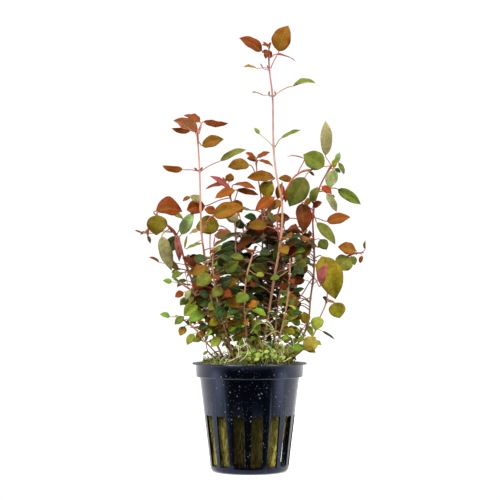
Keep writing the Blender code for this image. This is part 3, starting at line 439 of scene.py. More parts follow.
LEAVES = by_shoot([
    "shoot_tall",
    (182, (13, 190.4), (17.3, 202.3), (-5, -7), 9.4, 18, "olive", "leaf_tall_top"),
    (188, (5.9, 190.9), (-4.4, 196.8), (-5, -8), 7.0, 28, "orange", "leaf_tall_left"),
    (187, (12.8, 189.5), (21.4, 186.2), (-1, 4), 5.2, 74, "red", "leaf_tall_low_right"),
    (169.5, (19.6, 175.4), (29.9, 176.8), (-4, -6), 5.2, 55, "green", "leaf_tall_right", 38),
    (146.2, (14, 150.8), (23, 154.8), (-5, -8), 3.4, 55, "green", "leaf_tall_lower_right"),
    (182, (3.3, 182.9), (-2.5, 183.6), (-6, -9), 3.4, 62, "olive"),
    (169.5, (6, 170.6), (1.2, 171.8), (-1, 3), 3.0, 86, "green"),
    (146.2, (4.6, 152.6), (2.2, 155.4), (-3, -3), 2.0, 20, "bright"),
    "shoot_left_tall",
    (149, (-23.9, 154), (-34.4, 159.6), (-9, -13), 9.4, 122, "red", "leaf_left_top"),
    (150, (-26.4, 154.4), (-35.4, 154.8), (-5, -7), 3.4, -30, "red"),
    (152.5, (-22.5, 158.4), (-30, 161.6), (-4, -2), 6.2, 50, "red"),
    (152, (-21, 157.6), (-9.8, 156.8), (-8, -11), 4.6, -52, "red", "leaf_left_crown_right"),
    (148, (-21.9, 147.5), (-12, 150.4), (-9, -12), 6.4, 22, "olive", "leaf_left_right"),
    (134.9, (-30.4, 135.8), (-39.7, 137.5), (-9, -12), 4.4, -46, "orange", "leaf_left_left"),
    (134.9, (-13.6, 140.5), (-1.8, 145.8), (-8, -10), 4.2, 36, "green", "leaf_left_long_right"),
    (107, (-16.7, 115.7), (-2.8, 119.6), (-11, -14), 8.2, 18, "olive", "leaf_left_broad"),
    (110, (-15.4, 117.2), (-20.6, 118.2), (-6, -6), 4.6, 20, "orange"),
    "shoot_middle_left",
    (123, (-20.4, 119.8), (-28.8, 118), (-4, -3), 7.4, 12, "orange", "leaf_left_round"),
    "shoot_left_tall",
    (118, (-22.8, 121.6), (-26.8, 124.8), (-5, -3), 4.6, 30, "grey"),
    (119, (-26.9, 123.9), (-30.4, 122), (-3, -4), 2.4, 30, "red"),
    (98, (-22, 103), (-29, 100.2), (-11, -15), 2.4, 50, "green"),
    "shoot_left_arch",
    (108, (-42.4, 118.6), (-30.3, 118.6), (-5, -3), 12.2, 40, "orange", "leaf_arch_hood", 30),
    (111.5, (-42, 115.6), (-42.5, 106.4), (-7, -8), 9.5, 6, "gold", "leaf_arch_round"),
    (105, (-31.2, 106.8), (-25.8, 116.8), (-3, -4), 6.0, 16, "grey", "leaf_arch_right"),
    (103, (-32.9, 106), (-31.4, 94.6), (-4, -6), 5.6, 24, "pink", "leaf_arch_folded", 42),
    (109, (-39.7, 106), (-35.2, 90.6), (-5, -8), 6.6, 14, "grey", "leaf_arch_long"),
    (106, (-30.2, 114.2), (-38.4, 117), (1, 3), 4.0, 55, "gold"),
    (100, (-33, 105.6), (-37.6, 99), (5, 8), 6.4, 20, "dark"),
    (93, (-41, 94.2), (-45.6, 96.6), (3, 3), 2.2, 50, "orange"),
    (108, (-46.2, 106.2), (-45, 102.6), (-3, -4), 1.8, 30, "red"),
    (107.6, (-48.6, 107.4), (-52.2, 108.8), (-1, 0), 1.0, 30, "red"),
    "shoot_middle",
    (134, (0, 138.7), (-9.8, 137.8), (1, -2), 6.4, 26, "olive", "leaf_middle_left"),
    (128, (11.2, 133), (-1.1, 133), (1, -1), 6.4, 30, "olive", "leaf_middle_front"),
    (122, (6.2, 124.3), (10.2, 131), (1, 0), 7.6, 16, "gold", "leaf_middle_round"),
    (118, (11, 124), (2.4, 118), (2, 0), 6.2, 30, "orange"),
    (140, (2.4, 141.8), (-1.8, 144), (2, 0), 3.4, 45, "orange"),
    (140, (3.8, 142), (9.2, 144.4), (2, 1), 3.4, 45, "orange"),
    (139, (4.4, 140.8), (10.8, 138), (0, -3), 3.4, 50, "orange"),
    "shoot_middle_left",
    (124, (-8, 127), (-17.6, 133.8), (-6, -9), 4.2, 50, "magenta", "leaf_centre_magenta"),
    (124, (-7, 129.9), (3, 127.8), (-4, -6), 4.8, 55, "red", "leaf_centre_right"),
    (128, (-12, 129.8), (-20.4, 127.6), (-1, 2), 4.2, 56, "red"),
    (118, (-6.8, 127.2), (-15.8, 123.6), (-5, -6), 5.2, 34, "orange"),
    (128, (-9.4, 130.6), (-8.7, 134.6), (-3, -3), 4.4, 15, "orange"),
    (119, (-8.6, 121.4), (-3.2, 117), (-4, -5), 6.4, 15, "orange"),
    (106, (-13.8, 110.8), (-24.4, 110.3), (-3, -4), 8.8, 10, "gold", "leaf_centre_gold"),
    (108, (-5, 113.2), (-11.2, 115.6), (-7, -8), 5.4, 14, "grey"),
    (104, (-2.6, 109.6), (-7, 113.6), (5, 6), 5.0, 30, "dark"),
    (100, (-3.6, 108), (-14.4, 103), (-6, -9), 4.8, 62, "dark", "leaf_centre_thin"),
    (96, (1.7, 105.6), (-6, 99.6), (-5, -8), 5.2, 32, "orange"),
    "shoot_right",
    (137.5, (34, 138), (24.6, 143.4), (-6, -6), 9.4, 14, "green", "leaf_high_right"),
    "shoot_right_arch",
    (135.9, (25, 132.8), (17.9, 119.6), (-9, -10), 10.2, 10, "green", "leaf_right_hanging"),
    (133, (24.2, 142), (17, 142.6), (-4, -2), 2.6, 80, "pink"),
    (126, (19.6, 131.4), (13.2, 132.4), (3, 2), 3.6, 20, "olive"),
    (121, (14.4, 129.6), (12.6, 122.8), (4, 4), 4.4, 10, "olive"),
    (121, (18.2, 127.8), (16.2, 121.4), (1, 0), 3.4, 10, "red"),
    "shoot_right",
    (138, (34.8, 142.8), (34.9, 158.6), (-3, -4), 5.8, 16, "grey", "leaf_right_upright"),
    (138, (38.4, 136.2), (35.9, 127.8), (-5, -7), 6.0, 22, "grey", "leaf_right_crown"),
    (126, (40.1, 127.2), (50.4, 120.3), (-4, -6), 5.2, -12, "green", "leaf_right_outer"),
    (117.5, (24, 121), (24.6, 107.9), (-6, -9), 8.0, 14, "red", "leaf_right_dark"),
    (114, (35, 113), (45.7, 114.9), (-4, -6), 5.8, 24, "orange", "leaf_right_orange"),
    (115, (30.8, 112.4), (39.2, 102.6), (-5, -8), 5.4, 26, "green", "leaf_right_green"),
    (127, (30.4, 128.2), (28.4, 121), (-4, -6), 4.4, 26, "green"),
    (126, (35.5, 125.4), (39.9, 117.1), (-1, -1), 4.4, 30, "grey"),
    (126, (33, 128.8), (37.4, 125.4), (-4, -5), 4.0, 30, "scarlet"),
    (116, (28.6, 119.4), (32.8, 121.6), (-4, -5), 3.6, 30, "scarlet"),
    (104, (32.2, 104.6), (35.2, 100), (-2, -3), 5.4, 20, "green"),
    (139, (39.8, 139.4), (40.9, 144.2), (-3, -3), 3.0, 30, "grey"),
    (140, (40.8, 139.6), (43.2, 134.2), (-3, -5), 2.8, 30, "green"),
    (137, (38.2, 137), (39.4, 141.6), (-6, -6), 2.8, 20, "gold"),
    (136, (39, 136.8), (41.4, 134.8), (-5, -5), 2.2, 20, "dark"),
    (87, (22, 78), (15.1, 74.8), (-4, -7), 7.0, 16, "olive"),
    (78, (21, 74.2), (18.2, 67.6), (-3, -5), 5.6, 18, "yellow"),
    (66, (25.3, 66.2), (24.8, 71.6), (-2, -3), 5.0, 20, "gold"),
    (96, (33, 96.8), (39.3, 77.5), (-7, -9), 12.8, 8, "gold", "leaf_right_largest"),
    (87, (32.2, 84), (34.8, 93.6), (-12, -14), 4.6, 20, "pink", "leaf_right_pink"),
    "shoot_far_right",
    (98, (48.4, 99.8), (40.4, 101.4), (1, -1), 6.4, 24, "olive", "leaf_far_right_orange"),
    (96, (45.6, 96.2), (39.9, 90.6), (0, -2), 8.6, 10, "green", "leaf_far_right_green"),
    (97, (46.2, 96.8), (48, 92.8), (0, 0), 4.0, 24, "bright"),
    (98.4, (52.3, 100), (52.5, 104), (2, 2), 1.8, 50, "olive"),
    (98.2, (51, 97), (50, 93.6), (1, 1), 2.2, 30, "orange"),
    (77, (38.6, 75.8), (41, 68.8), (-3, -4), 8.0, 10, "gold", "leaf_far_right_heart"),
    (64, (31.2, 69.6), (29.8, 63.2), (-9, -11), 6.2, 16, "yellow"),
    (60, (29.9, 59.8), (24.5, 54.4), (-10, -12), 7.0, 12, "yellow"),
    (55, (23.6, 57), (20, 53.6), (-10, -12), 4.6, 30, "bright"),
    (64, (33, 63), (38.8, 59.2), (-5, -5), 1.6, 40, "dark"),
    "shoot_low_left",
    (82, (-35.2, 85.4), (-39.2, 85.8), (-10, -11), 2.8, 30, "bright"),
    (80, (-30, 80.6), (-33.8, 78.4), (-12, -13), 3.6, 20, "orange"),
    (74, (-24, 75.4), (-29.8, 70), (-12, -14), 6.6, 14, "bright"),
    (68, (-20, 63), (-24.8, 58.6), (-12, -13), 3.8, 20, "olive"),
    "shoot_low_left_front",
    (69.4, (-36, 69.4), (-40.6, 70.6), (-14, -15), 3.0, 30, "bright"),
    (68, (-30, 69.6), (-34, 66), (-17, -18), 3.8, 22, "green"),
    (66, (-29.4, 65), (-31.6, 60.8), (-16, -17), 3.8, 14, "gold"),
    (62, (-25.4, 61.8), (-28.4, 56.8), (-16, -18), 3.8, 14, "bright"),
    "shoot_front_left",
    (90, (-17.8, 88.6), (-24, 83.6), (-22, -24), 6.8, 16, "green"),
    (80, (-12.8, 82.8), (-16.6, 78.6), (-23, -25), 5.6, 18, "green"),
    (70, (-12, 74), (-15.8, 69), (-21, -23), 6.0, 20, "dark"),
    (56, (-13.8, 60.2), (-17.4, 55.8), (-16, -18), 4.8, 20, "bright"),
    "shoot_tall",
    (80, (5, 83.6), (-9, 90.2), (-13, -15), 6.4, 24, "dark", "leaf_front_teal"),
    "shoot_front",
    (76, (-0.6, 79.4), (-6, 76), (-25, -27), 6.0, 20, "green"),
    (70, (-5, 73.8), (-9.6, 71), (-22, -24), 4.8, 30, "dark"),
    (62, (-6.6, 66.4), (-9.4, 62.6), (-19, -20), 4.0, 24, "bright"),
    (90, (2.8, 88.6), (6.8, 88.2), (-24, -25), 2.8, 30, "bright"),
    "shoot_front_right",
    (90, (13.6, 87.8), (9.4, 86.4), (-24, -25), 3.2, 30, "green"),
    (79, (19.6, 80.8), (24.8, 82.4), (-22, -22), 2.8, 24, "dark"),
])

# %% The paired leaves
# Places where the photograph shows the ground between the leaves: x, height and radius
GAPS = [
    (26, 86, 3.6), (25, 80, 3.4), (24.8, 75, 2.6), (31.5, 81, 3.0), (32, 74, 2.6), (19.5, 65.5, 1.8),
    (18, 118, 2.8), (18.5, 113.4, 2.4), (12, 118, 1.8), (5.5, 112.5, 1.6), (0, 121, 3.0), (5, 115.8, 1.8),
    (3, 101, 1.6), (5, 98, 2.0), (26, 110, 1.6), (28, 99.5, 1.2), (-25, 105, 3.0), (-24.6, 98.4, 1.6),
    (-18.5, 104, 3.2), (-19.4, 100.2, 1.8), (-13, 109, 2.2),
]

# The smaller leaves along a shoot: the first and last height, the step between pairs, and the blade's length
PAIRS = {
    "shoot_tall": (62, 112, 17, 6.4),
    "shoot_left_tall": (62, 96, 12, 6.8),
    "shoot_left_arch": (62, 98, 11, 7.4),
    "shoot_middle": (64, 118, 11, 8.4),
    "shoot_middle_left": (60, 98, 10, 7.8),
    "shoot_right": (64, 112, 16, 5.8),
    "shoot_right_arch": (66, 118, 11, 7.4),
    "shoot_far_right": (58, 92, 16, 5.4),
    "shoot_low_left": (60, 82, 8, 5.2),
    "shoot_low_left_front": (58, 66, 7, 4.8),
    "shoot_front_left": (62, 96, 10, 6.0),
    "shoot_front": (62, 96, 9, 6.4),
    "shoot_front_right": (60, 92, 9, 6.0),
    "shoot_back_left": (62, 112, 12, 9.6),
    "shoot_back": (62, 114, 12, 9.6),
    "shoot_back_right": (62, 112, 12, 9.6),
    "sprig_left": (52.5, 58, 3.6, 3.8),
    "sprig_front": (52.5, 58, 3.4, 3.8),
    "sprig_right": (52.5, 58, 3.4, 3.8),
}

# %% [markdown]
# A leaf is placed by the line of sight: its ends are given in the plane of the pot's axis and moved along
# the view to their depth, so that its outline stays where the photograph has it. Where a leaf would cross
# another, it is tried at the next depth. Plain closed forms stand for the leaves in these tests.

# %% Places and plain forms
def in_view(x, depth, z):
    """A place measured in the plane of the pot's axis, moved along the line of sight to its depth."""
    grow = 1 + depth / EYE_DISTANCE
    return Vector((x * grow, depth, EYE_HEIGHT + (z - EYE_HEIGHT) * grow))


def point_at_height(route, height):
    """The point of the route at this height, or its nearest one."""
    for low, high in zip(route, route[1:]):
        if (low.z - height) * (high.z - height) <= 0 and low.z != high.z:
            return low.lerp(high, (height - low.z) / (high.z - low.z))
    return min(route[1:], key=lambda place: abs(place.z - height))


def across(way):
    """A direction square to the given one, level where it can be."""
    side = way.cross(UP)
    if side.length < 0.05:
        side = way.cross(Vector((0, 1, 0)))
    return side.normalized()


def around(way, turn):
    """A direction square to the given one, turned about it."""
    side = across(way)
    return side * math.cos(turn) + way.cross(side) * math.sin(turn)


def level(turn):
    """A level direction."""
    return Vector((math.cos(turn), math.sin(turn), 0))


def shift(draw, *reach):
    """A random move of up to the reach along each axis, either way."""
    return Vector([draw.uniform(-far, far) for far in reach])


def circle(radius, sides):
    """The x and y of points round a circle."""
    turns = [math.tau * number / sides for number in range(sides)]
    return [(radius * math.cos(turn), radius * math.sin(turn)) for turn in turns]


def joined_rings(rings, tip=None):
    """Vertices and faces of a closed form through rings of points, ending in a point or a flat cap."""
    sides = len(rings[0])
    points = [point for ring in rings for point in ring]
    faces = [tuple(reversed(range(sides)))]
    for row in range(len(rings) - 1):
        low = row * sides
        for side in range(sides):
            after = (side + 1) % sides
            faces.append((low + side, low + after, low + sides + after, low + sides + side))
    last = (len(rings) - 1) * sides
    if tip is None:
        faces.append(tuple(range(last, last + sides)))
    else:
        points.append(tip)
        faces += [(last + side, last + (side + 1) % sides, len(points) - 1) for side in range(sides)]
    return points, faces


def tube(route, radii, sides):
    """A round closed form along the route. Its rings turn as little as they can."""
    side = across(route[1] - route[0])
    rings = []
    for i, centre in enumerate(route):
        way = (route[min(i + 1, len(route) - 1)] - route[max(i - 1, 0)]).normalized()
        side = (side - way * side.dot(way)).normalized()
        other = way.cross(side)
        rings.append([centre + (side * x + other * y) * radii[i] for x, y in circle(1, sides)])
    return joined_rings(rings)


def blade_profile(along):
    """Half the blade's width at this share of its length, as a share of the widest."""
    return math.sin(math.pi * along**0.82) ** 0.8


# %% A leaf in its place
class Placed:
    """A leaf in its place: where its stalk starts, where its blade runs, and which way it faces."""

    def __init__(self, spec, start, base, tip, roll, paired=False):
        self.spec = spec
        self.paired = paired
        self.start = start
        self.base = base
        self.tip = tip
        self.length = (tip - base).length
        self.way = (tip - base).normalized()
        front = Vector((0, -1, 0))
        front = (front - self.way * front.dot(self.way)).normalized()
        sky = self.way.cross(front)
        if sky.z < -0.02 or (abs(sky.z) <= 0.02 and sky.x < 0):
            sky = -sky
        turn = math.radians(roll)
        self.normal = front * math.cos(turn) + sky * math.sin(turn)
        self.side = self.way.cross(self.normal).normalized()

    def lowered(self, amount):
        """The same leaf with its blade moved back along its own normal."""
        self.base = self.base - self.normal * amount
        self.tip = self.tip - self.normal * amount
        return self

    def stalk(self, share):
        """The middle of the stalk, from the stem at 0 to the blade at 1."""
        reach = (self.base - self.start).length
        early = self.start + (self.base - self.start) * STALK_EARLY + UP * reach * STALK_LIFT
        late = self.base - self.way * reach * STALK_LATE
        back = 1 - share
        return (self.start * back**3 + early * 3 * back**2 * share
                + late * 3 * back * share**2 + self.base * share**3)

    def midrib(self, along):
        rise = BOW * self.length * 4 * along * (1 - along)
        return self.base.lerp(self.tip, along) + self.normal * rise

    def section(self, centre, half, thick, fold=0.0):
        """Four points round the centre: an edge, the under face, the other edge and the upper face."""
        lift = self.normal * half * math.sin(fold)
        reach = self.side * half * math.cos(fold)
        return [centre - reach + lift, centre - self.normal * thick,
                centre + reach + lift, centre + self.normal * thick]

    def stalk_section(self, share):
        """A section of the stalk, square to the way that it runs there."""
        near = self.stalk(min(share + 0.05, 1)) - self.stalk(max(share - 0.05, 0))
        turn = self.way.rotation_difference(near)
        side = turn @ self.side * STALK
        face = turn @ self.normal * STALK
        centre = self.stalk(share)
        return [centre - side, centre - face, centre + side, centre + face]

    def solid(self, clearance=0.0):
        """Vertices and faces of the leaf, made fuller by the clearance."""
        small = not self.spec.name
        fold = math.radians(self.spec.fold)
        rings = [self.stalk_section(0)]
        half = self.spec.width / 2 + clearance
        thick = HALF_THICK + clearance
        if not small and (self.base - self.start).angle(self.way) > SHARP_BEND:
            rings.append(self.stalk_section(0.6))
        if self.length > TINY_LENGTH or not small:
            rings.append(self.section(self.base, STALK, STALK))
        if self.paired or self.length <= TINY_LENGTH:
            sections = PAIRED_SECTIONS
        else:
            sections = SMALL_SECTIONS if small else LEAF_SECTIONS
        for along in sections:
            width = max(half * blade_profile(along), STALK)
            rings.append(self.section(self.midrib(along), width, thick, fold))
        if small:
            rings = [ring[:3] for ring in rings]
        return joined_rings(rings, self.tip + self.way * clearance)


# %% Growing the leaves
def tree_of(solid):
    points, faces = solid
    return BVHTree.FromPolygons(points, faces)


def free(found, placed):
    """True if the leaf crosses nothing that is placed, apart from the stem that it is one piece with."""
    tree = tree_of(found.solid(SPARE))
    stem = "" if found.spec.name else found.spec.shoot
    return not any(tree.overlap(other) for name, other in placed if not stem or name != stem)


def grows(found, placed, grown):
    """Grows the leaf where it is free, and says whether it did."""
    if not free(found, placed):
        return False
    grown.append(found)
    placed.append((found.spec.name, tree_of(found.solid())))
    return True


def mat_height(x, y):
    """The root mat's upper face: low lumps, and a mound of moss on the left."""
    spread = math.hypot(x, y) / MAT_RADIUS
    mound = CUSHION_RISE * math.exp(-((x - CUSHION[0]) ** 2 + (y - CUSHION[1]) ** 2) / 72)
    lumps = 0.9 * noise.noise(Vector((x, y, 3)) / 5)
    return MAT_TOP + mound + lumps - 1.2 * spread**4


def route_of(shoot):
    """The stem's route, its first point just clear of the root mat."""
    thickness, points = STEMS[shoot]
    places = [in_view(*point) for point in points]
    foot = places[0]
    foot.z = mat_height(foot.x, foot.y) + STEM_GAP + thickness * STEM_LIFT
    return places


def stem_solid(shoot):
    thickness = STEMS[shoot][0]
    route = route_of(shoot)
    radii = [thickness / 2 * (1 - STEM_TAPER * i / (len(route) - 1)) for i in range(len(route))]
    return tube(route, radii, STEM_SIDES)


def placed_leaf(spec, route, deeper):
    """A leaf from the table, its blade moved in depth."""
    root = point_at_height(route, spec.at)
    base = in_view(spec.base[0], spec.depth[0] + deeper, spec.base[1])
    tip = in_view(spec.tip[0], spec.depth[1] + deeper, spec.tip[1])
    out = base - root
    out = (out - UP * out.z * 0.6).normalized()
    thickness = STEMS[spec.shoot][0]
    gap = thickness / 2 + SPARE + STALK if spec.name else thickness / 5
    found = Placed(spec, root + out * gap, base, tip, spec.roll)
    rise = BOW * found.length + spec.width / 2 * math.sin(math.radians(spec.fold))
    return found.lowered(rise / 2)


def at_free_depths(specs, routes, grow):
    """Each leaf of a table at the first depth where it grows. One with no such depth is left out."""
    for spec in specs:
        for depth in DEPTH_TRIES:
            if grow(placed_leaf(spec, routes[spec.shoot], depth)):
                break


def pair_tone(height, draw):
    """A tone for a small leaf: bright at the foot, green and dark in the middle, redder above."""
    if height < 60:
        return "bright"
    if height < 80:
        return draw.choice(("green", "dark", "green", "olive", "bright"))
    return draw.choice(("dark", "green", "olive", "orange", "red", "grey"))


def side_leaf(shoot, root, height, turn, length, draw):
    """A small leaf on its stalk, to the side of the stem that the turn gives."""
    out = level(turn)
    reach = draw.uniform(0.35, 0.75) * length
    base = root + out * reach + UP * reach * draw.uniform(0.1, 0.6)
    way = out + UP * draw.uniform(-0.5, 0.5) + across(out) * draw.uniform(-0.4, 0.4)
    tip = base + way.normalized() * length
    width = length * draw.uniform(0.55, 0.75)
    spec = rule_leaf(shoot, height, width, pair_tone(height, draw))
    return Placed(spec, root + out * STEMS[shoot][0] / 5, base, tip, draw.uniform(20, 80), paired=True)


def as_seen(place):
    """The x and z at which a place is seen in the plane of the pot's axis."""
    grow = 1 + place.y / EYE_DISTANCE
    return place.x / grow, EYE_HEIGHT + (place.z - EYE_HEIGHT) / grow


def in_gap(found):
    """True if the blade's middle or tip is in a place that stays clear."""
    for place in (found.tip, (found.base + found.tip) / 2):
        x, z = as_seen(place)
        if any(math.hypot(x - middle, z - height) < radius for middle, height, radius in GAPS):
            return True
    return False


def paired_leaves(routes, placed, grown):
    """Opposite pairs along each shoot, each pair square to the last. One with no free place isn't grown."""
    draw = random.Random(SEED)
    for shoot, (low, high, step, length) in PAIRS.items():
        height = low
        quarter = draw.uniform(0, math.pi)
        while height <= high:
            root = point_at_height(routes[shoot], height)
            size = length * draw.uniform(0.75, 1.15)
            for half in (0, math.pi):
                for turn in TURN_TRIES:
                    angle = quarter + half + math.radians(turn)
                    found = side_leaf(shoot, root, height, angle, size, draw)
                    if not in_gap(found) and grows(found, placed, grown):
                        break
            quarter += math.pi / 2
            height += step * draw.uniform(1.05, 1.45)


def growing_tips(routes):
    """Each shoot with its growing tip and the way it grows there."""
    for shoot, route in routes.items():
        yield shoot, route[-1], (route[-1] - route[-2]).normalized()


def crown_leaves(routes, placed, grown):
    """The small new leaves round each growing tip."""
    draw = random.Random(SEED + 1)
    for shoot, tip, way in growing_tips(routes):
        for number in range(CROWN_LEAVES):
            side = around(way, math.radians(360 / CROWN_LEAVES * number + draw.uniform(-20, 20)))
            base = tip - way * 0.3 + side * 0.5 + way * 0.5
            length = draw.uniform(2.4, 4.2)
            end = base + (side + way * draw.uniform(0.5, 1.4)).normalized() * length
            spec = rule_leaf(shoot, tip.z, length * 0.55, "red" if tip.z > RED_CROWN else "bright")
            grows(Placed(spec, tip - way * 0.8, base, end, 50), placed, grown)


# %% The tufts of young growth
def tuft(place, height, lean):
    """A pointed tuft of young growth that leans as it rises from the root mat."""
    foot = mat_height(place.x, place.y) - 1
    ring = [place + Vector((x, y, foot)) for x, y in circle(TUFT_RADIUS, TUFT_SIDES)]
    return joined_rings([ring], place + lean + UP * (foot + height))


def tufts(placed):
    """Tufts spread over the root mat, clear of the stems and of the moss cushion."""
    draw = random.Random(SEED + 2)
    grown = []
    while len(grown) < TUFTS:
        place = level(draw.uniform(0, math.tau)) * draw.uniform(*TUFT_REACH)
        if place.x < CUSHION_EDGE:
            continue
        lean = shift(draw, 3, 3).to_3d()
        found = tuft(place, draw.uniform(*TUFT_HEIGHT), lean)
        tree = tree_of(found)
        if not any(tree.overlap(other) for _, other in placed):
            grown.append(found)
            placed.append(("root_mat", tree))
    return grown


# %% Growing the whole plan
def whole_plan():
    """Every stem's route and every leaf in its place, and the tufts of young growth on the root mat."""
    routes = {shoot: route_of(shoot) for shoot in STEMS}
    placed = [(shoot, tree_of(stem_solid(shoot))) for shoot in STEMS]
    sprouts = tufts(placed)
    grown = []
    at_free_depths(LEAVES, routes, lambda found: grows(found, placed, grown))
    paired_leaves(routes, placed, grown)
    crown_leaves(routes, placed, grown)
    return routes, grown, sprouts


def furthest_tip(grown):
    """How far a leaf's tip lies from its solid at the most, in millimetres."""
    worst = 0
    for found in grown:
        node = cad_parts[found.spec.name or found.spec.shoot]
        points = np.zeros(len(node.data.vertices) * 3)
        node.data.vertices.foreach_get("co", points)
        gaps = np.linalg.norm(points.reshape(-1, 3) / MM - np.array(found.tip), axis=1)
        worst = max(worst, gaps.min())
    return worst


routes, grown, sprouts = whole_plan()
print("plan:", len(routes), "stems,", len(grown), "leaves,", len(sprouts), "tufts; the leaf tips are within",
      round(furthest_tip(grown), 3), "mm of their solids")

# %% [markdown]
# Hundreds of leaves need one good blade. It is modelled flat, by hand: a grid whose rows are drawn in to the
# leaf's outline, closed to a point at the tip, and given a thickness. Each leaf is then a copy that is folded
# along its midrib, cupped, rippled and laid on its place in the plan. The pattern's X runs across the blade
# from -1 to 1, its Y along it from 0 to 1, and its Z is 1 on the upper face and -1 on the under side.

# %% The patterns
Pattern = collections.namedtuple("Pattern", "points faces")
SHEET = 0.02
BLADE_ROWS = 14
BLADE_COLUMNS = 8
SMALL_ROWS = 7
SMALL_COLUMNS = 4
BASE_WIDTH = 0.07


def outline(along):
    """Half the fine blade's width at this share of its length: a wedge at the base, an acute tip."""
    share = min(max(along, 0.0), 1.0) ** 0.90
    if share > 0.5:
        return 1 - (2 * share - 1) ** 2.15
    return (1 - (1 - 2 * share) ** 2.5) ** 0.82


def choose(mesh_object, wanted):
    """Selects the points for which the test holds, in edit mode."""
    shaped = bmesh.from_edit_mesh(mesh_object.data)
    for vert in shaped.verts:
        vert.select_set(wanted(vert.co))
    shaped.select_flush(True)
    bmesh.update_edit_mesh(mesh_object.data)


def choose_edges(mesh_object, axis):
    """Selects the edges that run along an axis, in edit mode."""
    shaped = bmesh.from_edit_mesh(mesh_object.data)
    bpy.ops.mesh.select_mode(type="EDGE")
    bpy.ops.mesh.select_all(action="DESELECT")
    for edge in shaped.edges:
        low, high = edge.verts
        edge.select_set(abs(low.co[axis] - high.co[axis]) > 0.001)
    bmesh.update_edit_mesh(mesh_object.data)


def taken(mesh_object):
    """The finished mesh as a pattern. Its object is removed."""
    mesh = mesh_object.data
    points = np.zeros(len(mesh.vertices) * 3)
    mesh.vertices.foreach_get("co", points)
    faces = [tuple(face.vertices) for face in mesh.polygons]
    bpy.data.objects.remove(mesh_object)
    return Pattern(points.reshape(-1, 3), faces)


def blade_pattern(rows, columns):
    """One blade, flat and a unit long."""
    bpy.ops.mesh.primitive_grid_add(x_subdivisions=columns, y_subdivisions=rows, size=2)
    blade = bpy.context.object
    bpy.ops.object.mode_set(mode="EDIT")
    for row in range(rows + 1):
        height = 2 * row / rows - 1
        width = max(outline(row / rows), BASE_WIDTH if row == 0 else 0)
        choose(blade, lambda co: abs(co.y - height) < 0.01)
        if row < rows:
            bpy.ops.transform.resize(value=(width, 1, 1))
        else:
            bpy.ops.mesh.merge(type="CENTER")
    bpy.ops.mesh.select_all(action="SELECT")
    bpy.ops.transform.translate(value=(0, 1, 0))
    bpy.ops.transform.resize(value=(1, 0.5, 1), center_override=(0, 0, 0))
    bpy.ops.object.mode_set(mode="OBJECT")
    sheet = blade.modifiers.new("sheet", "SOLIDIFY")
    sheet.thickness = SHEET
    sheet.offset = 0
    bpy.ops.object.modifier_apply(modifier=sheet.name)
    flat = taken(blade)
    flat.points[:, 2] = np.sign(flat.points[:, 2])
    return flat


def tube_pattern(rings, sides):
    """One round closed tube, a unit thick from its middle and a unit long, with rings to bend it at."""
    bpy.ops.mesh.primitive_cylinder_add(vertices=sides, radius=1, depth=1, end_fill_type="TRIFAN",
                                        location=(0, 0, 0.5))
    rod = bpy.context.object
    bpy.ops.object.transform_apply(location=True)
    bpy.ops.object.mode_set(mode="EDIT")
    choose_edges(rod, 2)
    bpy.ops.mesh.subdivide(number_cuts=rings - 2)
    bpy.ops.mesh.select_mode(type="VERT")
    bpy.ops.object.mode_set(mode="OBJECT")
    return taken(rod)


def ring_numbers(pattern, rings):
    """For each point of a tube pattern, the number of the ring that it is on."""
    return np.rint(pattern.points[:, 2] * (rings - 1)).astype(int)


BLADE = blade_pattern(BLADE_ROWS, BLADE_COLUMNS)
SMALL_BLADE = blade_pattern(SMALL_ROWS, SMALL_COLUMNS)
STEM_RINGS = 72
STALK_RINGS = 12
SMALL_RINGS = 6
STEM_TUBE = tube_pattern(STEM_RINGS, 10)
STALK_TUBE = tube_pattern(STALK_RINGS, 6)
SMALL_TUBE = tube_pattern(SMALL_RINGS, 4)
PATTERNS = {"blade": BLADE, "small blade": SMALL_BLADE, "stem": STEM_TUBE, "stalk": STALK_TUBE,
            "small stalk": SMALL_TUBE}
for title, pattern in PATTERNS.items():
    print("pattern,", title + ":", len(pattern.points), "points,", len(pattern.faces), "faces")

# %% [markdown]
# A leaf's mesh carries what its finish reads: where a point is on the blade, the leaf's tint, and its
# nature, which holds how red it has blushed, a number of its own and how shaded it is. The copies that make
# up one piece are gathered as arrays and become one mesh at the end. Joining objects would be much slower.

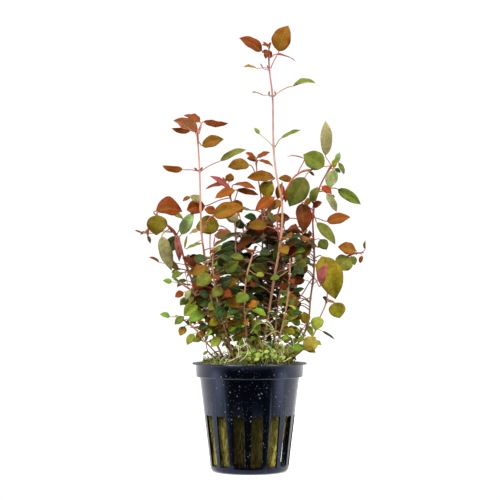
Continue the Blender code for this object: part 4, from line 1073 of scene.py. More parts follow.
# %% Gathering copies into a piece
class Piece:
    """Copies of patterns on their way to one mesh."""

    def __init__(self):
        self.points, self.faces, self.slots = [], [], []
        self.blade, self.tint, self.nature = [], [], []
        self.count = 0

    def add(self, points, faces, slot, blade=None, tint=(0.5, 0.5, 0.5), nature=(0, 0, 1)):
        """Points in millimetres, their faces, the finish's slot, and what the finish reads at each point."""
        size = len(points)
        self.points.append(points)
        self.faces += [tuple(index + self.count for index in face) for face in faces]
        self.slots += [slot] * len(faces)
        self.blade.append(np.zeros((size, 3)) if blade is None else blade)
        self.tint.append(np.ones((size, 4)) * (*tint, 1) if np.ndim(tint) == 1 else tint)
        self.nature.append(np.ones((size, 3)) * nature)
        self.count += size

    def add_rod(self, pattern, route, radii, slot, **read):
        """A tube pattern bent along a route."""
        self.add(laid_along(pattern, route, radii), pattern.faces, slot, **read)

    def made(self, name, finishes, slot, *nodes):
        """The mesh object, riding on the body, in place of the nodes that it stands for."""
        mesh = bpy.data.meshes.new(name)
        mesh.from_pydata(np.concatenate(self.points) * MM, [], self.faces)
        for finish in finishes:
            mesh.materials.append(finish)
        mesh.polygons.foreach_set("material_index", self.slots)
        rows = (("blade", "FLOAT_VECTOR", "vector"), ("nature", "FLOAT_VECTOR", "vector"),
                ("tint", "FLOAT_COLOR", "color"))
        for title, kind, field in rows:
            values = np.concatenate(getattr(self, title)).astype(np.float32)
            mesh.attributes.new(title, kind, "POINT").data.foreach_set(field, values.ravel())
        mesh.shade_smooth()
        mesh.update()
        piece = bpy.data.objects.new(name, mesh)
        bpy.context.scene.collection.objects.link(piece)
        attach(piece, "root")
        if nodes:
            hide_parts(*nodes)
        return piece


def smooth_route(points, count):
    """Evenly spaced points on the smooth curve through the given ones."""
    given = np.array([tuple(point) for point in points], float)
    ends = np.vstack([2 * given[0] - given[1], given, 2 * given[-1] - given[-2]])
    fine = []
    for i in range(1, len(ends) - 2):
        before, here, after, last = ends[i - 1:i + 3]
        for share in np.linspace(0, 1, 12, endpoint=False):
            fine.append(0.5 * (2 * here + (after - before) * share
                               + (2 * before - 5 * here + 4 * after - last) * share**2
                               + (3 * here - before - 3 * after + last) * share**3))
    fine = np.array([*fine, given[-1]])
    run = np.concatenate([[0], np.cumsum(np.linalg.norm(np.diff(fine, axis=0), axis=1))])
    wanted = np.linspace(0, run[-1], count)
    return np.stack([np.interp(wanted, run, fine[:, axis]) for axis in range(3)], axis=1)


def laid_along(pattern, route, radii):
    """The tube pattern bent along a route that has a point for each of its rings."""
    ways = np.gradient(route, axis=0)
    ways /= np.linalg.norm(ways, axis=1)[:, None]
    side = np.cross(ways[0], (0.1, 0.9, 0.2))
    sides = []
    for way in ways:
        side = side - way * side.dot(way)
        side /= np.linalg.norm(side)
        sides.append(side)
    sides = np.array(sides)
    others = np.cross(ways, sides)
    ring = ring_numbers(pattern, len(route))
    spread = np.asarray(radii, float)[ring][:, None]
    out = sides[ring] * pattern.points[:, :1] + others[ring] * pattern.points[:, 1:2]
    return route[ring] + out * spread


print("helpers: ready")

# %% [markdown]
# Each tone of the plan is a tint and a blush. The tints were chosen from the photograph. No two leaves
# are quite alike, so each one's tint is moved a little by its own draw, and the small leaves deep in the
# bush are painted darker, as the shade that falls there.

# %% Tones and shapes of the leaves
TONES = {
    "green": ((0.076, 0.106, 0.012), 0.18),
    "grey": ((0.165, 0.190, 0.068), 0.10),
    "dark": ((0.016, 0.038, 0.010), 0.14),
    "bright": ((0.115, 0.165, 0.014), 0.0),
    "lime": ((0.240, 0.300, 0.060), 0.0),
    "gold": ((0.150, 0.110, 0.005), 0.27),
    "yellow": ((0.190, 0.185, 0.020), 0.10),
    "olive": ((0.160, 0.066, 0.003), 0.34),
    "orange": ((0.150, 0.028, 0.001), 0.34),
    "red": ((0.120, 0.017, 0.002), 0.55),
    "scarlet": ((0.140, 0.015, 0.004), 0.20),
    "magenta": ((0.150, 0.028, 0.030), 0.30),
    "pink": ((0.300, 0.082, 0.068), 0.22),
}
# Painted light and shade on some of the large leaves: how much lighter or darker each is made than its tone
PAINTED_LEAF_LIGHT = {
    "leaf_tall_left": 0.72, "leaf_left_crown_right": 1.3, "leaf_left_left": 1.4, "leaf_left_right": 0.65,
    "leaf_arch_hood": 0.68, "leaf_arch_round": 0.6, "leaf_arch_folded": 1.35, "leaf_right_hanging": 0.68,
    "leaf_right_dark": 0.72, "leaf_middle_front": 0.9, "leaf_right_green": 0.8, "leaf_right_pink": 1.2,
    "leaf_far_right_heart": 1.4, "leaf_far_right_green": 1.2, "leaf_centre_gold": 1.2,
}
BLADE_THICKNESS = 0.26
RIPPLE = 0.10
CURL = 0.22
RECURVE = 0.02
RECURVE_FROM = 0.6
BACK = 8.0
BUSH_AXIS = (2, 2)
INNER_SHADE = 0.85
SHADED_HEIGHTS = (66, 80, 104, 118)
SHADED_REACH = (28, 38)
THROUGH = 1.1
GLOW_ABOVE = (116, 128)
GLOW_BEYOND = (34, 40)
STALK_IN_STEM = 0.9
STALK_UNDER_BLADE = 0.65
STALK_RED = (0.34, 0.075, 0.06)
STALK_GREEN = (0.22, 0.22, 0.06)
# A leaf's blade, its stalk's tube, and the stalk's rings and thickness
LARGE_PARTS = (BLADE, STALK_TUBE, STALK_RINGS, 0.27)
SMALL_PARTS = (SMALL_BLADE, SMALL_TUBE, SMALL_RINGS, 0.17)


def leaf_shape(pattern, found, draw):
    """The blade pattern folded, cupped, rippled and laid on a leaf's place."""
    wide, along, face = pattern.points.T
    edge = np.clip(np.abs(wide) / np.maximum([outline(v) for v in along], BASE_WIDTH), 0, 1)
    length, half = found.length, found.spec.width / 2
    fold = math.radians(found.spec.fold + draw.uniform(-4, 10))
    bend = draw.uniform(-0.05, 0.05) * length
    waves, start = draw.uniform(1.2, 2.6), draw.uniform(0, math.tau)
    lean = draw.uniform(-0.05, 0.05)
    twist = draw.uniform(-0.35, 0.35) * (along - 0.4)
    arch = 4 * along * (1 - along)
    reach = wide * half * (1 + lean * np.sign(wide))
    lift = np.abs(reach) * math.sin(fold) - CURL * half * wide**2 * abs(math.sin(fold) + 0.3)
    lift += RIPPLE * half * edge**2 * np.sin(along * waves * math.tau + start + np.sign(wide)) * arch
    reach = reach * math.cos(fold) * np.cos(twist) - lift * np.sin(twist)
    lift = lift * np.cos(twist) + wide * half * np.sin(twist)
    bent_back = np.clip((along - RECURVE_FROM) / (1 - RECURVE_FROM), 0, 1) ** 2
    rise = BOW * length * arch - RECURVE * length * bent_back
    thick = face * BLADE_THICKNESS / 2 * (1 - 0.8 * edge**4) * (1 - 0.5 * along)
    base, tip = np.array(found.base), np.array(found.tip)
    side, normal = np.array(found.side), np.array(found.normal)
    points = base + (tip - base) * along[:, None]
    points += side * (reach + bend * arch)[:, None] + normal * (rise + lift + thick)[:, None]
    lower = face > 0 if found.base.y > BACK and found.normal.y < -0.2 else face < 0
    return points, np.stack([np.sign(wide) * edge, along, lower], axis=1)


def own_tint(tone, draw, spread=0.16):
    """The tone's tint and blush, moved by the leaf's own draw."""
    tint, blush = TONES[tone]
    light = draw.uniform(1 - spread, 1 + spread)
    warm = draw.uniform(1 - spread, 1 + spread)
    return (tint[0] * light * warm, tint[1] * light / warm, tint[2] * light), blush * draw.uniform(0.6, 1.35)


def stalk_route(found, rings):
    """The stalk from inside the stem to the blade's base at the share 1, and on below the midrib."""
    out = found.start - found.base
    root = found.start + out.normalized() * (STALK_IN_STEM if found.spec.name else 0.0)
    shares = np.linspace(0, 1 + STALK_UNDER_BLADE, rings)
    route = []
    for share in shares:
        if share > 1:
            place = found.midrib(share - 1) - found.normal * BLADE_THICKNESS * 0.45
        elif share < 0.25:
            place = root.lerp(found.stalk(share), share * 4)
        else:
            place = found.stalk(share)
        route.append(tuple(place))
    return np.array(route), shares


def face_light(found, faces):
    """How much light each face gets. One turned to the middle of the bush is in the leaves' shade, and
    one turned down outside of it glows with what comes through the blade."""
    middle = (found.base + found.tip) / 2
    out = Vector((middle.x - BUSH_AXIS[0], middle.y - BUSH_AXIS[1], 0)).normalized()
    outward = faces * (found.normal.dot(out) + 0.5 * found.normal.z)
    far = abs(middle.x - BUSH_AXIS[0])
    inside = np.interp(middle.z, SHADED_HEIGHTS, (0, 1, 1, 0)) * np.interp(far, SHADED_REACH, (1, 0))
    shade = INNER_SHADE * inside * np.clip(0.6 - outward * 1.4, 0, 1)
    outside = max(np.interp(middle.z, GLOW_ABOVE, (0, 1)), np.interp(far, GLOW_BEYOND, (0, 1)))
    return 1 - shade + THROUGH * outside * np.clip(-faces * found.normal.z, 0, 1)


def grow_leaf(piece, found, draw, small, shade=1.0):
    """Adds a leaf's blade and stalk to a piece. Slot 0 is the leaf's finish and slot 1 the stem's."""
    tint, blush = own_tint(found.spec.tone, draw)
    number = draw.random()
    pattern, rod, rings, thick = SMALL_PARTS if small else LARGE_PARTS
    points, blade = leaf_shape(pattern, found, draw)
    light = shade * face_light(found, pattern.points[:, 2])
    nature = np.stack([np.full(len(points), blush), np.full(len(points), number), light], axis=1)
    piece.add(points, pattern.faces, 0, blade, tint, nature)
    route, shares = stalk_route(found, rings)
    radii = np.where(shares <= 1, thick, thick * (1.75 - shares))
    red = min(1, blush * 2 + 0.25) if found.spec.tone != "bright" else 0.1
    colour = np.array(STALK_RED) * red + np.array(STALK_GREEN) * (1 - red)
    # The stalk's colour carries the leaf's painted light and shade as well.
    piece.add_rod(rod, route, radii, 1, tint=colour * shade, nature=(blush, number, shade))


# %% The large leaves
def large_leaves():
    """One piece for each leaf that is a solid of its own."""
    draw = random.Random(SEED + 3)
    made = []
    for found in grown:
        if found.spec.name:
            piece = Piece()
            grow_leaf(piece, found, draw, small=False, shade=PAINTED_LEAF_LIGHT.get(found.spec.name, 1.0))
            made.append(piece.made(f"fine_{found.spec.name}", (LEAF, STEM), "leaf", found.spec.name))
    return made


print("large leaves:", len(large_leaves()))

# %% [markdown]
# The middle of the bush is dense: behind the leaves that show one by one there are a few hundred small
# ones, and each growing tip is a tight cluster. They come from a rule with a fixed seed. Each sits on a stalk
# from a stem of the plan, crosses no leaf that is there already, and stays in the bush's own outline.

# %% The thicket
THICKET_LOW = 57.0
THICKET_HIGH = 121.0
THICKET_STEP = 1.1
THICKET_TRIES = 5
THICKET_LENGTHS = (4.5, 8.8)
LOW_LENGTHS = (2.8, 5.4)
LOW_BELOW = 72
DENSE_BELOW = 76
DENSE_STEP = 0.6
# The bush's dense part: heights, and how far left and right it goes there
THICKET_EDGE = (
    (56, -13, 19), (60, -16, 25), (64, -24, 25), (67, -26, 22), (70, -28, 22), (75, -31, 21.5),
    (80, -32, 20), (85, -34, 22), (88, -36, 24.5), (90, -36.5, 27), (95, -31, 30), (97, -24, 29),
    (99, -15, 27), (102, -9, 28), (106, -4, 28), (108, -4, 24), (110, -3, 16), (111, -2, 15),
    (114, 7, 14), (119, 9, 13), (121, 10, 12),
)
CLEAR_STEMS = (4.5, 15.5)
DEEP_SHADE = 0.66
DEEP_HEIGHTS = (68, 80, 104, 116)
DEEP_REACH = (8, 25)
# The light on the bush's small leaves at heights: bright low down, dim where the bush is thickest
LIGHT_BY_HEIGHT = ((66, 80, 90, 106, 116), (1.14, 1.0, 0.84, 0.84, 1.0))
BOX_SPARE = 0.3
LEAF_SPARE = 0.15
CELL = 8
BACK_LARGER = 1.25
GOLDEN_TURN = 2.4
CLUSTER = 7
CROWN_TONES = ("red", "orange", "red", "olive")
THICKET_SHOOTS = ("shoot_tall", "shoot_left_tall", "shoot_middle", "shoot_middle_left", "shoot_right",
                  "shoot_right_arch", "shoot_front_left", "shoot_front", "shoot_front_right",
                  "shoot_back_left", "shoot_back", "shoot_back_right", "shoot_left_arch", "shoot_low_left",
                  "shoot_low_left_front")
# The tones that grow below each height
THICKET_TONES = (
    (64, ("bright", "green", "gold", "bright", "green")),
    (78, ("green", "bright", "green", "olive", "gold", "dark", "green")),
    (96, ("dark", "green", "dark", "olive", "red", "dark", "green")),
    (200, ("dark", "olive", "red", "olive", "orange", "dark", "green")),
)

# Small leaves that show one by one, too many for the solids
SMALL_LEAVES = by_shoot([
    "shoot_tall",
    (190, (9.2, 193.1), (5.5, 193.3), (-5, -6), 1.8, 30, "scarlet"),
    (190, (9, 192.6), (9.7, 194.6), (-5, -5), 1.4, 30, "red"),
    (189, (8.8, 191), (7.2, 187), (-5, -6), 3.0, 20, "scarlet"),
    (189, (8.8, 190.8), (9.9, 187.4), (-5, -6), 2.4, 20, "scarlet"),
    (188, (8.4, 190.6), (5.6, 189.8), (-4, -4), 2.2, 30, "scarlet"),
    (181, (8.6, 182.4), (7.8, 184), (-4, -4), 0.7, 30, "orange"),
    (181, (6, 182.6), (4.8, 184.7), (-5, -6), 0.7, 30, "orange"),
    (169, (8.8, 170.1), (9, 172.2), (-4, -4), 0.9, 30, "orange"),
    (169, (11.9, 170), (11.4, 172.3), (-4, -4), 0.9, 30, "orange"),
    "shoot_left_tall",
    (135.4, (-23.8, 136), (-25.4, 137.1), (-8, -8), 1.0, 30, "red"),
    (135.4, (-22.4, 136), (-21.2, 137.4), (-8, -8), 1.0, 30, "red"),
    (104, (-29.6, 100.5), (-28.4, 106.4), (-12, -12), 1.4, 30, "gold"),
    "shoot_middle",
    (139, (3.4, 140.8), (-1.2, 141.6), (0, -1), 3.8, 30, "orange"),
    (112, (3.2, 114.4), (-2.4, 115), (2, 1), 4.2, 30, "dark"),
    (116, (8.8, 117), (10.8, 112.2), (5, 4), 3.2, 20, "grey"),
    (118, (9.8, 119), (7.2, 115), (3, 2), 2.5, 20, "red"),
    (106, (4.8, 106), (4.2, 110.4), (2, 1), 3.8, 20, "magenta"),
    (106, (7.2, 106.2), (8.4, 111.4), (4, 3), 3.4, 20, "dark"),
    "shoot_right_arch",
    (116, (12, 115.6), (13.8, 112), (-4, -5), 2.6, 20, "olive"),
    (104, (16.5, 108.5), (24.2, 107.6), (-4, -6), 3.4, 30, "orange"),
    (102, (12.6, 103.5), (10.8, 94.5), (-5, -6), 2.6, 20, "bright"),
    (94, (20.8, 97), (23, 92.2), (-6, -7), 2.4, 20, "lime"),
    "shoot_right",
    (103, (27, 102.8), (23.4, 95.5), (-5, -7), 5.0, 20, "olive"),
    (103, (26.5, 105), (29, 102), (-6, -7), 2.8, 20, "bright"),
    (106, (27, 108.3), (27.8, 105.5), (-5, -5), 2.0, 20, "red"),
    (127, (37.4, 124.8), (38.5, 123), (-6, -6), 1.6, 20, "scarlet"),
    "shoot_middle_left",
    (124, (-6, 127.2), (4.2, 125), (-4, -5), 3.6, 30, "red"),
    "shoot_right",
    (118, (28, 123.4), (25, 119.4), (-3, -4), 3.0, 20, "olive"),
    (62, (27, 65.4), (28.4, 60.6), (1, 0), 3.2, 20, "bright"),
    "shoot_far_right",
    (54, (25, 55.2), (30, 53.2), (-9, -10), 3.0, 20, "yellow"),
    "shoot_low_left",
    (82, (-31.4, 89.6), (-35.4, 87), (-9, -9), 3.4, 20, "green"),
    (70, (-20.4, 71), (-27.8, 67.6), (-9, -11), 5.4, 20, "green"),
    (76, (-27.8, 77.6), (-31.6, 74.6), (-9, -10), 3.8, 20, "green"),
    "shoot_front_left",
    (99, (-15.6, 99.8), (-18.2, 98.2), (-21, -22), 2.0, 30, "red"),
    (99, (-16.3, 100.4), (-15.2, 107.2), (-21, -21), 0.7, 30, "pink"),
    "shoot_low_left",
    (80, (-27, 81.5), (-29, 77), (-13, -14), 3.0, 20, "grey"),
])


def in_thicket(place):
    """True inside the bush's dense part as the photograph has it, and off the two stems in front of it."""
    x, z = as_seen(place)
    if not THICKET_EDGE[0][0] < z < THICKET_EDGE[-1][0]:
        return False
    heights, left, right = zip(*THICKET_EDGE)
    inside = np.interp(z, heights, left) < x < np.interp(z, heights, right)
    return inside and not (place.y < -5 and CLEAR_STEMS[0] < x < CLEAR_STEMS[1])


def shaded(found):
    """How much light reaches a leaf: less towards the bush's axis, and all above the bush."""
    middle = (found.base + found.tip) / 2
    far = math.hypot(middle.x - BUSH_AXIS[0], middle.y - BUSH_AXIS[1])
    inside = np.interp(middle.z, DEEP_HEIGHTS, (0, 1, 1, 0)) * np.interp(far, DEEP_REACH, (1, 0))
    return (1 - DEEP_SHADE * inside) * np.interp(middle.z, *LIGHT_BY_HEIGHT)


def thicket_tone(height, draw):
    tones = next(choice for top, choice in THICKET_TONES if height < top)
    return draw.choice(tones)


class Crowd:
    """The leaves that are placed, found fast by where they are, and those that this cell grows among them."""

    def __init__(self, leaves):
        self.near = collections.defaultdict(list)
        self.extra = []
        for found in leaves:
            self.add(found)

    def cells(self, found):
        """The boxes of the grid that the leaf's blade is in or next to."""
        ends = [sorted(pair) for pair in zip(found.base, found.tip)]
        spans = [range(int(low // CELL) - 1, int(high // CELL) + 2) for low, high in ends]
        return list(itertools.product(*spans))

    def add(self, found):
        tree = tree_of(found.solid())
        for cell in self.cells(found):
            self.near[cell].append(tree)

    def clear(self, found):
        """True where the leaf crosses no other and stays inside the solids' own box."""
        points = np.array(found.solid()[0])
        low, high = np.array(cad_box) / MM
        if (points < low + BOX_SPARE).any() or (points > high - BOX_SPARE).any():
            return False
        tree = tree_of(found.solid(LEAF_SPARE))
        others = {id(other): other for cell in self.cells(found) for other in self.near[cell]}
        return not any(tree.overlap(other) for other in others.values())

    def grows(self, found):
        """Grows the leaf where it is clear, and says whether it did."""
        if not self.clear(found):
            return False
        self.add(found)
        self.extra.append(found)
        return True


def facing(found, draw):
    """The leaf turned more towards the front or the sky, with the thicket's own tone and a rounder blade."""
    tone = thicket_tone(found.tip.z, draw)
    spec = found.spec._replace(tone=tone, width=found.length * draw.uniform(0.6, 0.85))
    roll = draw.uniform(95, 160) if found.tip.y > 9 else draw.uniform(-20, 70)
    return Placed(spec, found.start, found.base, found.tip, roll, paired=True)


def thicket(crowd):
    """The extra leaves of the dense middle."""
    draw = random.Random(SEED + 5)
    for shoot in THICKET_SHOOTS:
        top = min(routes[shoot][-1].z, THICKET_HIGH)
        height = THICKET_LOW + draw.uniform(0, THICKET_STEP)
        turn = draw.uniform(0, math.tau)
        while height < top:
            root = point_at_height(routes[shoot], height)
            for _ in range(THICKET_TRIES):
                turn += GOLDEN_TURN + draw.uniform(-0.5, 0.5)
                length = draw.uniform(*(THICKET_LENGTHS if height > LOW_BELOW else LOW_LENGTHS))
                if shoot.startswith("shoot_back"):
                    length *= BACK_LARGER
                found = facing(side_leaf(shoot, root, height, turn, length, draw), draw)
                middle = (found.base + found.tip) / 2
                inside = in_thicket(found.tip) and in_thicket(middle) and not in_gap(found)
                if inside and crowd.grows(found):
                    break
            height += THICKET_STEP * draw.uniform(0.7, 1.3) * (DENSE_STEP if height < DENSE_BELOW else 1.0)


def crown_cluster(crowd):
    """The tight cluster of small new leaves round each growing tip."""
    draw = random.Random(SEED + 6)
    for shoot, tip, way in growing_tips(routes):
        for number in range(CLUSTER):
            side = around(way, number * GOLDEN_TURN + draw.uniform(-0.3, 0.3))
            drop = draw.uniform(0, 2.2)
            base = tip - way * drop + side * 0.6
            length = 1.3 + 1.1 * drop * draw.uniform(0.6, 1.2)
            end = base + (side * (0.4 + 0.5 * drop) + way).normalized() * length
            tone = draw.choice(CROWN_TONES) if tip.z > RED_CROWN else "bright"
            spec = rule_leaf(shoot, tip.z, length * 0.5, tone)
            crowd.grows(Placed(spec, tip - way * drop, base, end, 40, paired=True))


crowd = Crowd(grown)
at_free_depths(SMALL_LEAVES, routes, crowd.grows)
thicket(crowd)
crown_cluster(crowd)
print("thicket:", len(crowd.extra), "more small leaves")

# %% [markdown]
# A shoot is one grown thing: the stem, its swollen joints where leaves sit, its growing tip and its small
# leaves. The solid's stem is four-sided and straight between its points. The fine one runs in a smooth curve
# through the same points, from inside the root mat to the tip. It is pale tan at the foot and redder above.

# %% The shoots
STEM_TAN = (0.37, 0.20, 0.105)
STEM_PINK = (0.35, 0.165, 0.10)
# The colour of the stem's upper part
STEM_TOPS = {
    "shoot_tall": (0.28, 0.175, 0.14),
    "shoot_left_tall": (0.42, 0.17, 0.13),
    "shoot_left_arch": (0.36, 0.10, 0.07),
    "shoot_right": (0.40, 0.09, 0.07),
    "shoot_right_arch": (0.42, 0.10, 0.08),
    "shoot_low_left": (0.36, 0.12, 0.09),
}
STEM_RED = (0.32, 0.14, 0.10)
TIP_PINK = (0.30, 0.115, 0.12)
# The heights between which one colour turns into the next
TAN_TO_PINK = (55, 90)
PINK_TO_TOP = (88, 104)
OWN_TOP = {"shoot_tall": (112, 160), "shoot_left_tall": (112, 128), "shoot_low_left": (60, 76)}
TOP_TO_TIP = (150, 176)
# Painted light and shade on the stems by height: lighter low down, darker where the bush is thickest
STEM_LIGHT = ((56, 76, 90, 108), (1.1, 1.1, 0.85, 1.0))
SLIM_FOOT = ((70, 90), (0.82, 1))
JOINT_SWELL = 0.28
JOINT_REACH = 0.9
DOWN_IN_MAT = 3
SMALL_BELOW = 7


def blend(first, second, share):
    return np.array(first) * (1 - share) + np.array(second) * share


def stem_tint(shoot, height):
    """The stem's colour at a height: tan below, pink in the middle and the shoot's own colour above. Painted
    light and shade make it lighter low down and darker where the bush is thickest.
    """
    low, high, tip = (np.interp(height, span, (0, 1))
                      for span in (TAN_TO_PINK, OWN_TOP.get(shoot, PINK_TO_TOP), TOP_TO_TIP))
    top = blend(STEM_TOPS.get(shoot, STEM_RED), TIP_PINK, tip)
    return np.interp(height, *STEM_LIGHT) * blend(blend(STEM_TAN, STEM_PINK, low), top, high)


def fine_stem(piece, shoot, joints):
    """Adds the stem's smooth tube to the piece, swollen at the joints."""
    half = STEMS[shoot][0] / 2
    places = list(routes[shoot])
    down = (places[0] - places[1]).normalized()
    route = smooth_route([places[0] + down * DOWN_IN_MAT, *places], STEM_RINGS)
    heights = route[:, 2]
    radii = half * (1 - STEM_TAPER * np.linspace(0, 1, STEM_RINGS)) * np.interp(heights, *SLIM_FOOT)
    for joint in joints:
        radii += half * JOINT_SWELL * np.exp(-((heights - joint) / JOINT_REACH) ** 2)
    radii[-1] *= 0.5
    ring = ring_numbers(STEM_TUBE, STEM_RINGS)
    tints = np.array([(*stem_tint(shoot, height), 1) for height in heights])
    turn = np.arctan2(STEM_TUBE.points[:, 1], STEM_TUBE.points[:, 0])
    blade = np.stack([np.cos(turn), ring * 0.12, np.sin(turn)], axis=1)
    piece.add_rod(STEM_TUBE, route, radii, 1, blade=blade, tint=tints[ring])


def shoots():
    """One piece for each shoot, with all its small leaves."""
    draw = random.Random(SEED + 4)
    made = []
    for shoot in STEMS:
        piece = Piece()
        joints = {round(found.spec.at) for found in grown if found.spec.shoot == shoot}
        fine_stem(piece, shoot, sorted(joints))
        for found in grown + crowd.extra:
            if found.spec.shoot == shoot and not found.spec.name:
                grow_leaf(piece, found, draw, small=found.length < SMALL_BELOW, shade=shaded(found))
        made.append(piece.made(f"fine_{shoot}", (LEAF, STEM), "shoot", shoot))
    return made


print("shoots:", len(shoots()))

# %% [markdown]
# The net pot is injection moulded in one piece from black plastic. Water droplets on it are pale specks in its
# colour, painted glints, and dull dots in its roughness. A spin of its wall's section, as on a lathe, gives
# the round form. Its slots and drain holes are cut with a Boolean, and a fine bevel softens every cut edge.
# Cut edges without a bevel catch no light and look like paper.

# %% The pot's finish
POT_BLACK = (0.0003, 0.0004, 0.0009)
POT_BLUE_BLACK = (0.0009, 0.0011, 0.0022)
DROPLET_GLINT = (0.16, 0.18, 0.24)
POT_RELIEF = 0.00022


def pot_finish():
    plastic = Finish("pot plastic", 0.38, (0.46, 0.58, 1.0))
    broad = plastic.cloud(70, 3)
    fine = plastic.cloud(2600, 2)
    place = plastic.place()
    droplet_dots = plastic.dots(430, 0.18, place) + plastic.dots(900, 0.16, place) * 0.8
    shown = droplet_dots * plastic.cloud(140, 1).between(0.38, 0.52)
    colour = plastic.mix(broad, POT_BLACK, POT_BLUE_BLACK)
    # Painted glints: the droplets show as pale specks in the plastic's colour.
    colour = plastic.mix(shown * 0.55, colour, DROPLET_GLINT)
    plastic.bump(shown * 0.8 + fine * 0.06, POT_RELIEF)
    dull = plastic.dots(620, 0.24, place) * plastic.cloud(110, 1).between(0.40, 0.55)
    return plastic.coat(colour, 0.15 + broad * 0.08 + fine * 0.05 + dull * 0.6)


POT_PLASTIC = pot_finish()
print("pot finish:", len(POT_PLASTIC.node_tree.nodes), "nodes")

# %% The pot
POT_STEPS = SLOTS * 14
EDGE_SOFT = 0.14
RIM_ROUND = 0.22
HOLE_STEPS = 20
SLOT_ROUND = 0.5
CUTTER_MIDDLE = 19.5
CUTTER_DEPTH = 11
BEVEL_ABOVE = math.radians(50)
SMOOTH_BELOW = math.radians(35)


def pot_section():
    """The fine section of the wall as (radius, height), with its moulded radii."""
    inside_foot = FOOT_RADIUS - WALL
    return [
        (0, 0.5), (FOOT_RADIUS - 4.2, 0.5), (FOOT_RADIUS - 3.6, 0.0), (FOOT_RADIUS - 1.8, 0.0),
        (FOOT_RADIUS - 0.9, 0.25), (FOOT_RADIUS - 0.3, 0.9), (FOOT_RADIUS, 2.2),
        (FOOT_RADIUS + 2.4, 22.0), (SHOULDER_RADIUS - 0.06, COLLAR_FOOT - 0.3),
        (SHOULDER_RADIUS + 0.25, COLLAR_FOOT), (COLLAR_RADIUS - 0.6, COLLAR_FOOT),
        (COLLAR_RADIUS - 0.32, COLLAR_FOOT + 0.25), (COLLAR_RADIUS, POT_HEIGHT - 1.1),
        (COLLAR_RADIUS + 0.3, POT_HEIGHT - 0.7), (RIM_RADIUS - RIM_ROUND, POT_HEIGHT - 0.7),
        (RIM_RADIUS, POT_HEIGHT - 0.35), (RIM_RADIUS - RIM_ROUND, POT_HEIGHT),
        (COLLAR_RADIUS - WALL + 0.3, POT_HEIGHT), (COLLAR_RADIUS - WALL, POT_HEIGHT - 0.3),
        (COLLAR_RADIUS - 0.3 - WALL, COLLAR_FOOT + WALL), (SHOULDER_RADIUS - WALL, COLLAR_FOOT + WALL - 0.1),
        (inside_foot, 2.2 + WALL), (inside_foot - 0.4, FLOOR + 0.1), (inside_foot - 1.2, FLOOR), (0, FLOOR),
    ]


def new_object(name, points, edges, faces):
    """A mesh object of these points, made the active one."""
    mesh = bpy.data.meshes.new(name)
    mesh.from_pydata(points, edges, faces)
    made = bpy.data.objects.new(name, mesh)
    bpy.context.scene.collection.objects.link(made)
    bpy.context.view_layer.objects.active = made
    return made


def turned_pot():
    """The section as a wire, spun round the pot's axis in edit mode."""
    section = [(radius * MM, 0, height * MM) for radius, height in pot_section()]
    pot = new_object("fine_pot", section, [(i, i + 1) for i in range(len(section) - 1)], [])
    pot.select_set(True)
    bpy.ops.object.mode_set(mode="EDIT")
    bpy.ops.mesh.select_all(action="SELECT")
    bpy.ops.mesh.spin(steps=POT_STEPS, angle=math.tau, center=(0, 0, 0), axis=(0, 0, 1))
    bpy.ops.mesh.select_all(action="SELECT")
    bpy.ops.mesh.remove_doubles(threshold=0.00001)
    bpy.ops.mesh.normals_make_consistent(inside=False)
    bpy.ops.object.mode_set(mode="OBJECT")
    return pot


def slot_cutter():
    """One slot's block, its corners rounded, standing at +X."""
    bpy.ops.mesh.primitive_cube_add(size=1, location=(CUTTER_MIDDLE * MM, 0, (SLOT_FOOT + SLOT_TOP) / 2 * MM))
    cutter = bpy.context.object
    cutter.scale = (CUTTER_DEPTH * MM, SLOT_WIDTH * MM, (SLOT_TOP - SLOT_FOOT) * MM)
    bpy.ops.object.transform_apply(location=True, scale=True)
    bpy.ops.object.mode_set(mode="EDIT")
    choose_edges(cutter, 0)
    bpy.ops.mesh.bevel(offset=SLOT_ROUND * MM, segments=3)
    bpy.ops.mesh.select_mode(type="VERT")
    bpy.ops.object.mode_set(mode="OBJECT")
    return taken(cutter)


def hole_cutter():
    """One drain hole's drill, standing at +X."""
    bpy.ops.mesh.primitive_cylinder_add(vertices=HOLE_STEPS, radius=DRAIN_RADIUS * MM, depth=4 * MM,
                                        location=(DRAIN_RING * MM, 0, 0))
    bpy.ops.object.transform_apply(location=True)
    return taken(bpy.context.object)


def round_the_axis(pattern, count, first):
    """Copies of a cutter all round the pot's axis."""
    points, faces = [], []
    for number in range(count):
        spin = np.array(Matrix.Rotation(math.radians(first + 360 / count * number), 3, "Z"))
        faces += [tuple(index + number * len(pattern.points) for index in face) for face in pattern.faces]
        points.append(pattern.points @ spin.T)
    return np.concatenate(points), faces


def fine_pot():
    pot = turned_pot()
    for pattern, count, first in ((slot_cutter(), SLOTS, FIRST_SLOT), (hole_cutter(), DRAIN_HOLES, 0)):
        points, faces = round_the_axis(pattern, count, first)
        cutter = new_object("cutter", points, [], faces)
        bpy.context.view_layer.objects.active = pot
        cut = pot.modifiers.new("cut", "BOOLEAN")
        cut.operation = "DIFFERENCE"
        cut.object = cutter
        bpy.ops.object.modifier_apply(modifier=cut.name)
        bpy.data.objects.remove(cutter)
    soft = pot.modifiers.new("soft edges", "BEVEL")
    soft.width = EDGE_SOFT * MM
    soft.segments = 2
    soft.angle_limit = BEVEL_ABOVE
    bpy.ops.object.modifier_apply(modifier=soft.name)
    bpy.ops.object.select_all(action="DESELECT")
    pot.select_set(True)
    bpy.ops.object.shade_smooth_by_angle(angle=SMOOTH_BELOW)
    pot.data.materials.clear()
    pot.data.materials.append(POT_PLASTIC)
    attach(pot, "root")
    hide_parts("pot")
    return pot


pot = fine_pot()
print("pot:", len(pot.data.polygons), "faces")

# %% [markdown]
# The rock wool is a block of fine mineral fibres, grown through with roots and stained olive by algae. It
# shows through the slots. Its body is a cylinder whose points are moved by noise drawn out along its height,
# and several hundred loose fibres lie on it, so that its outline is never clean.

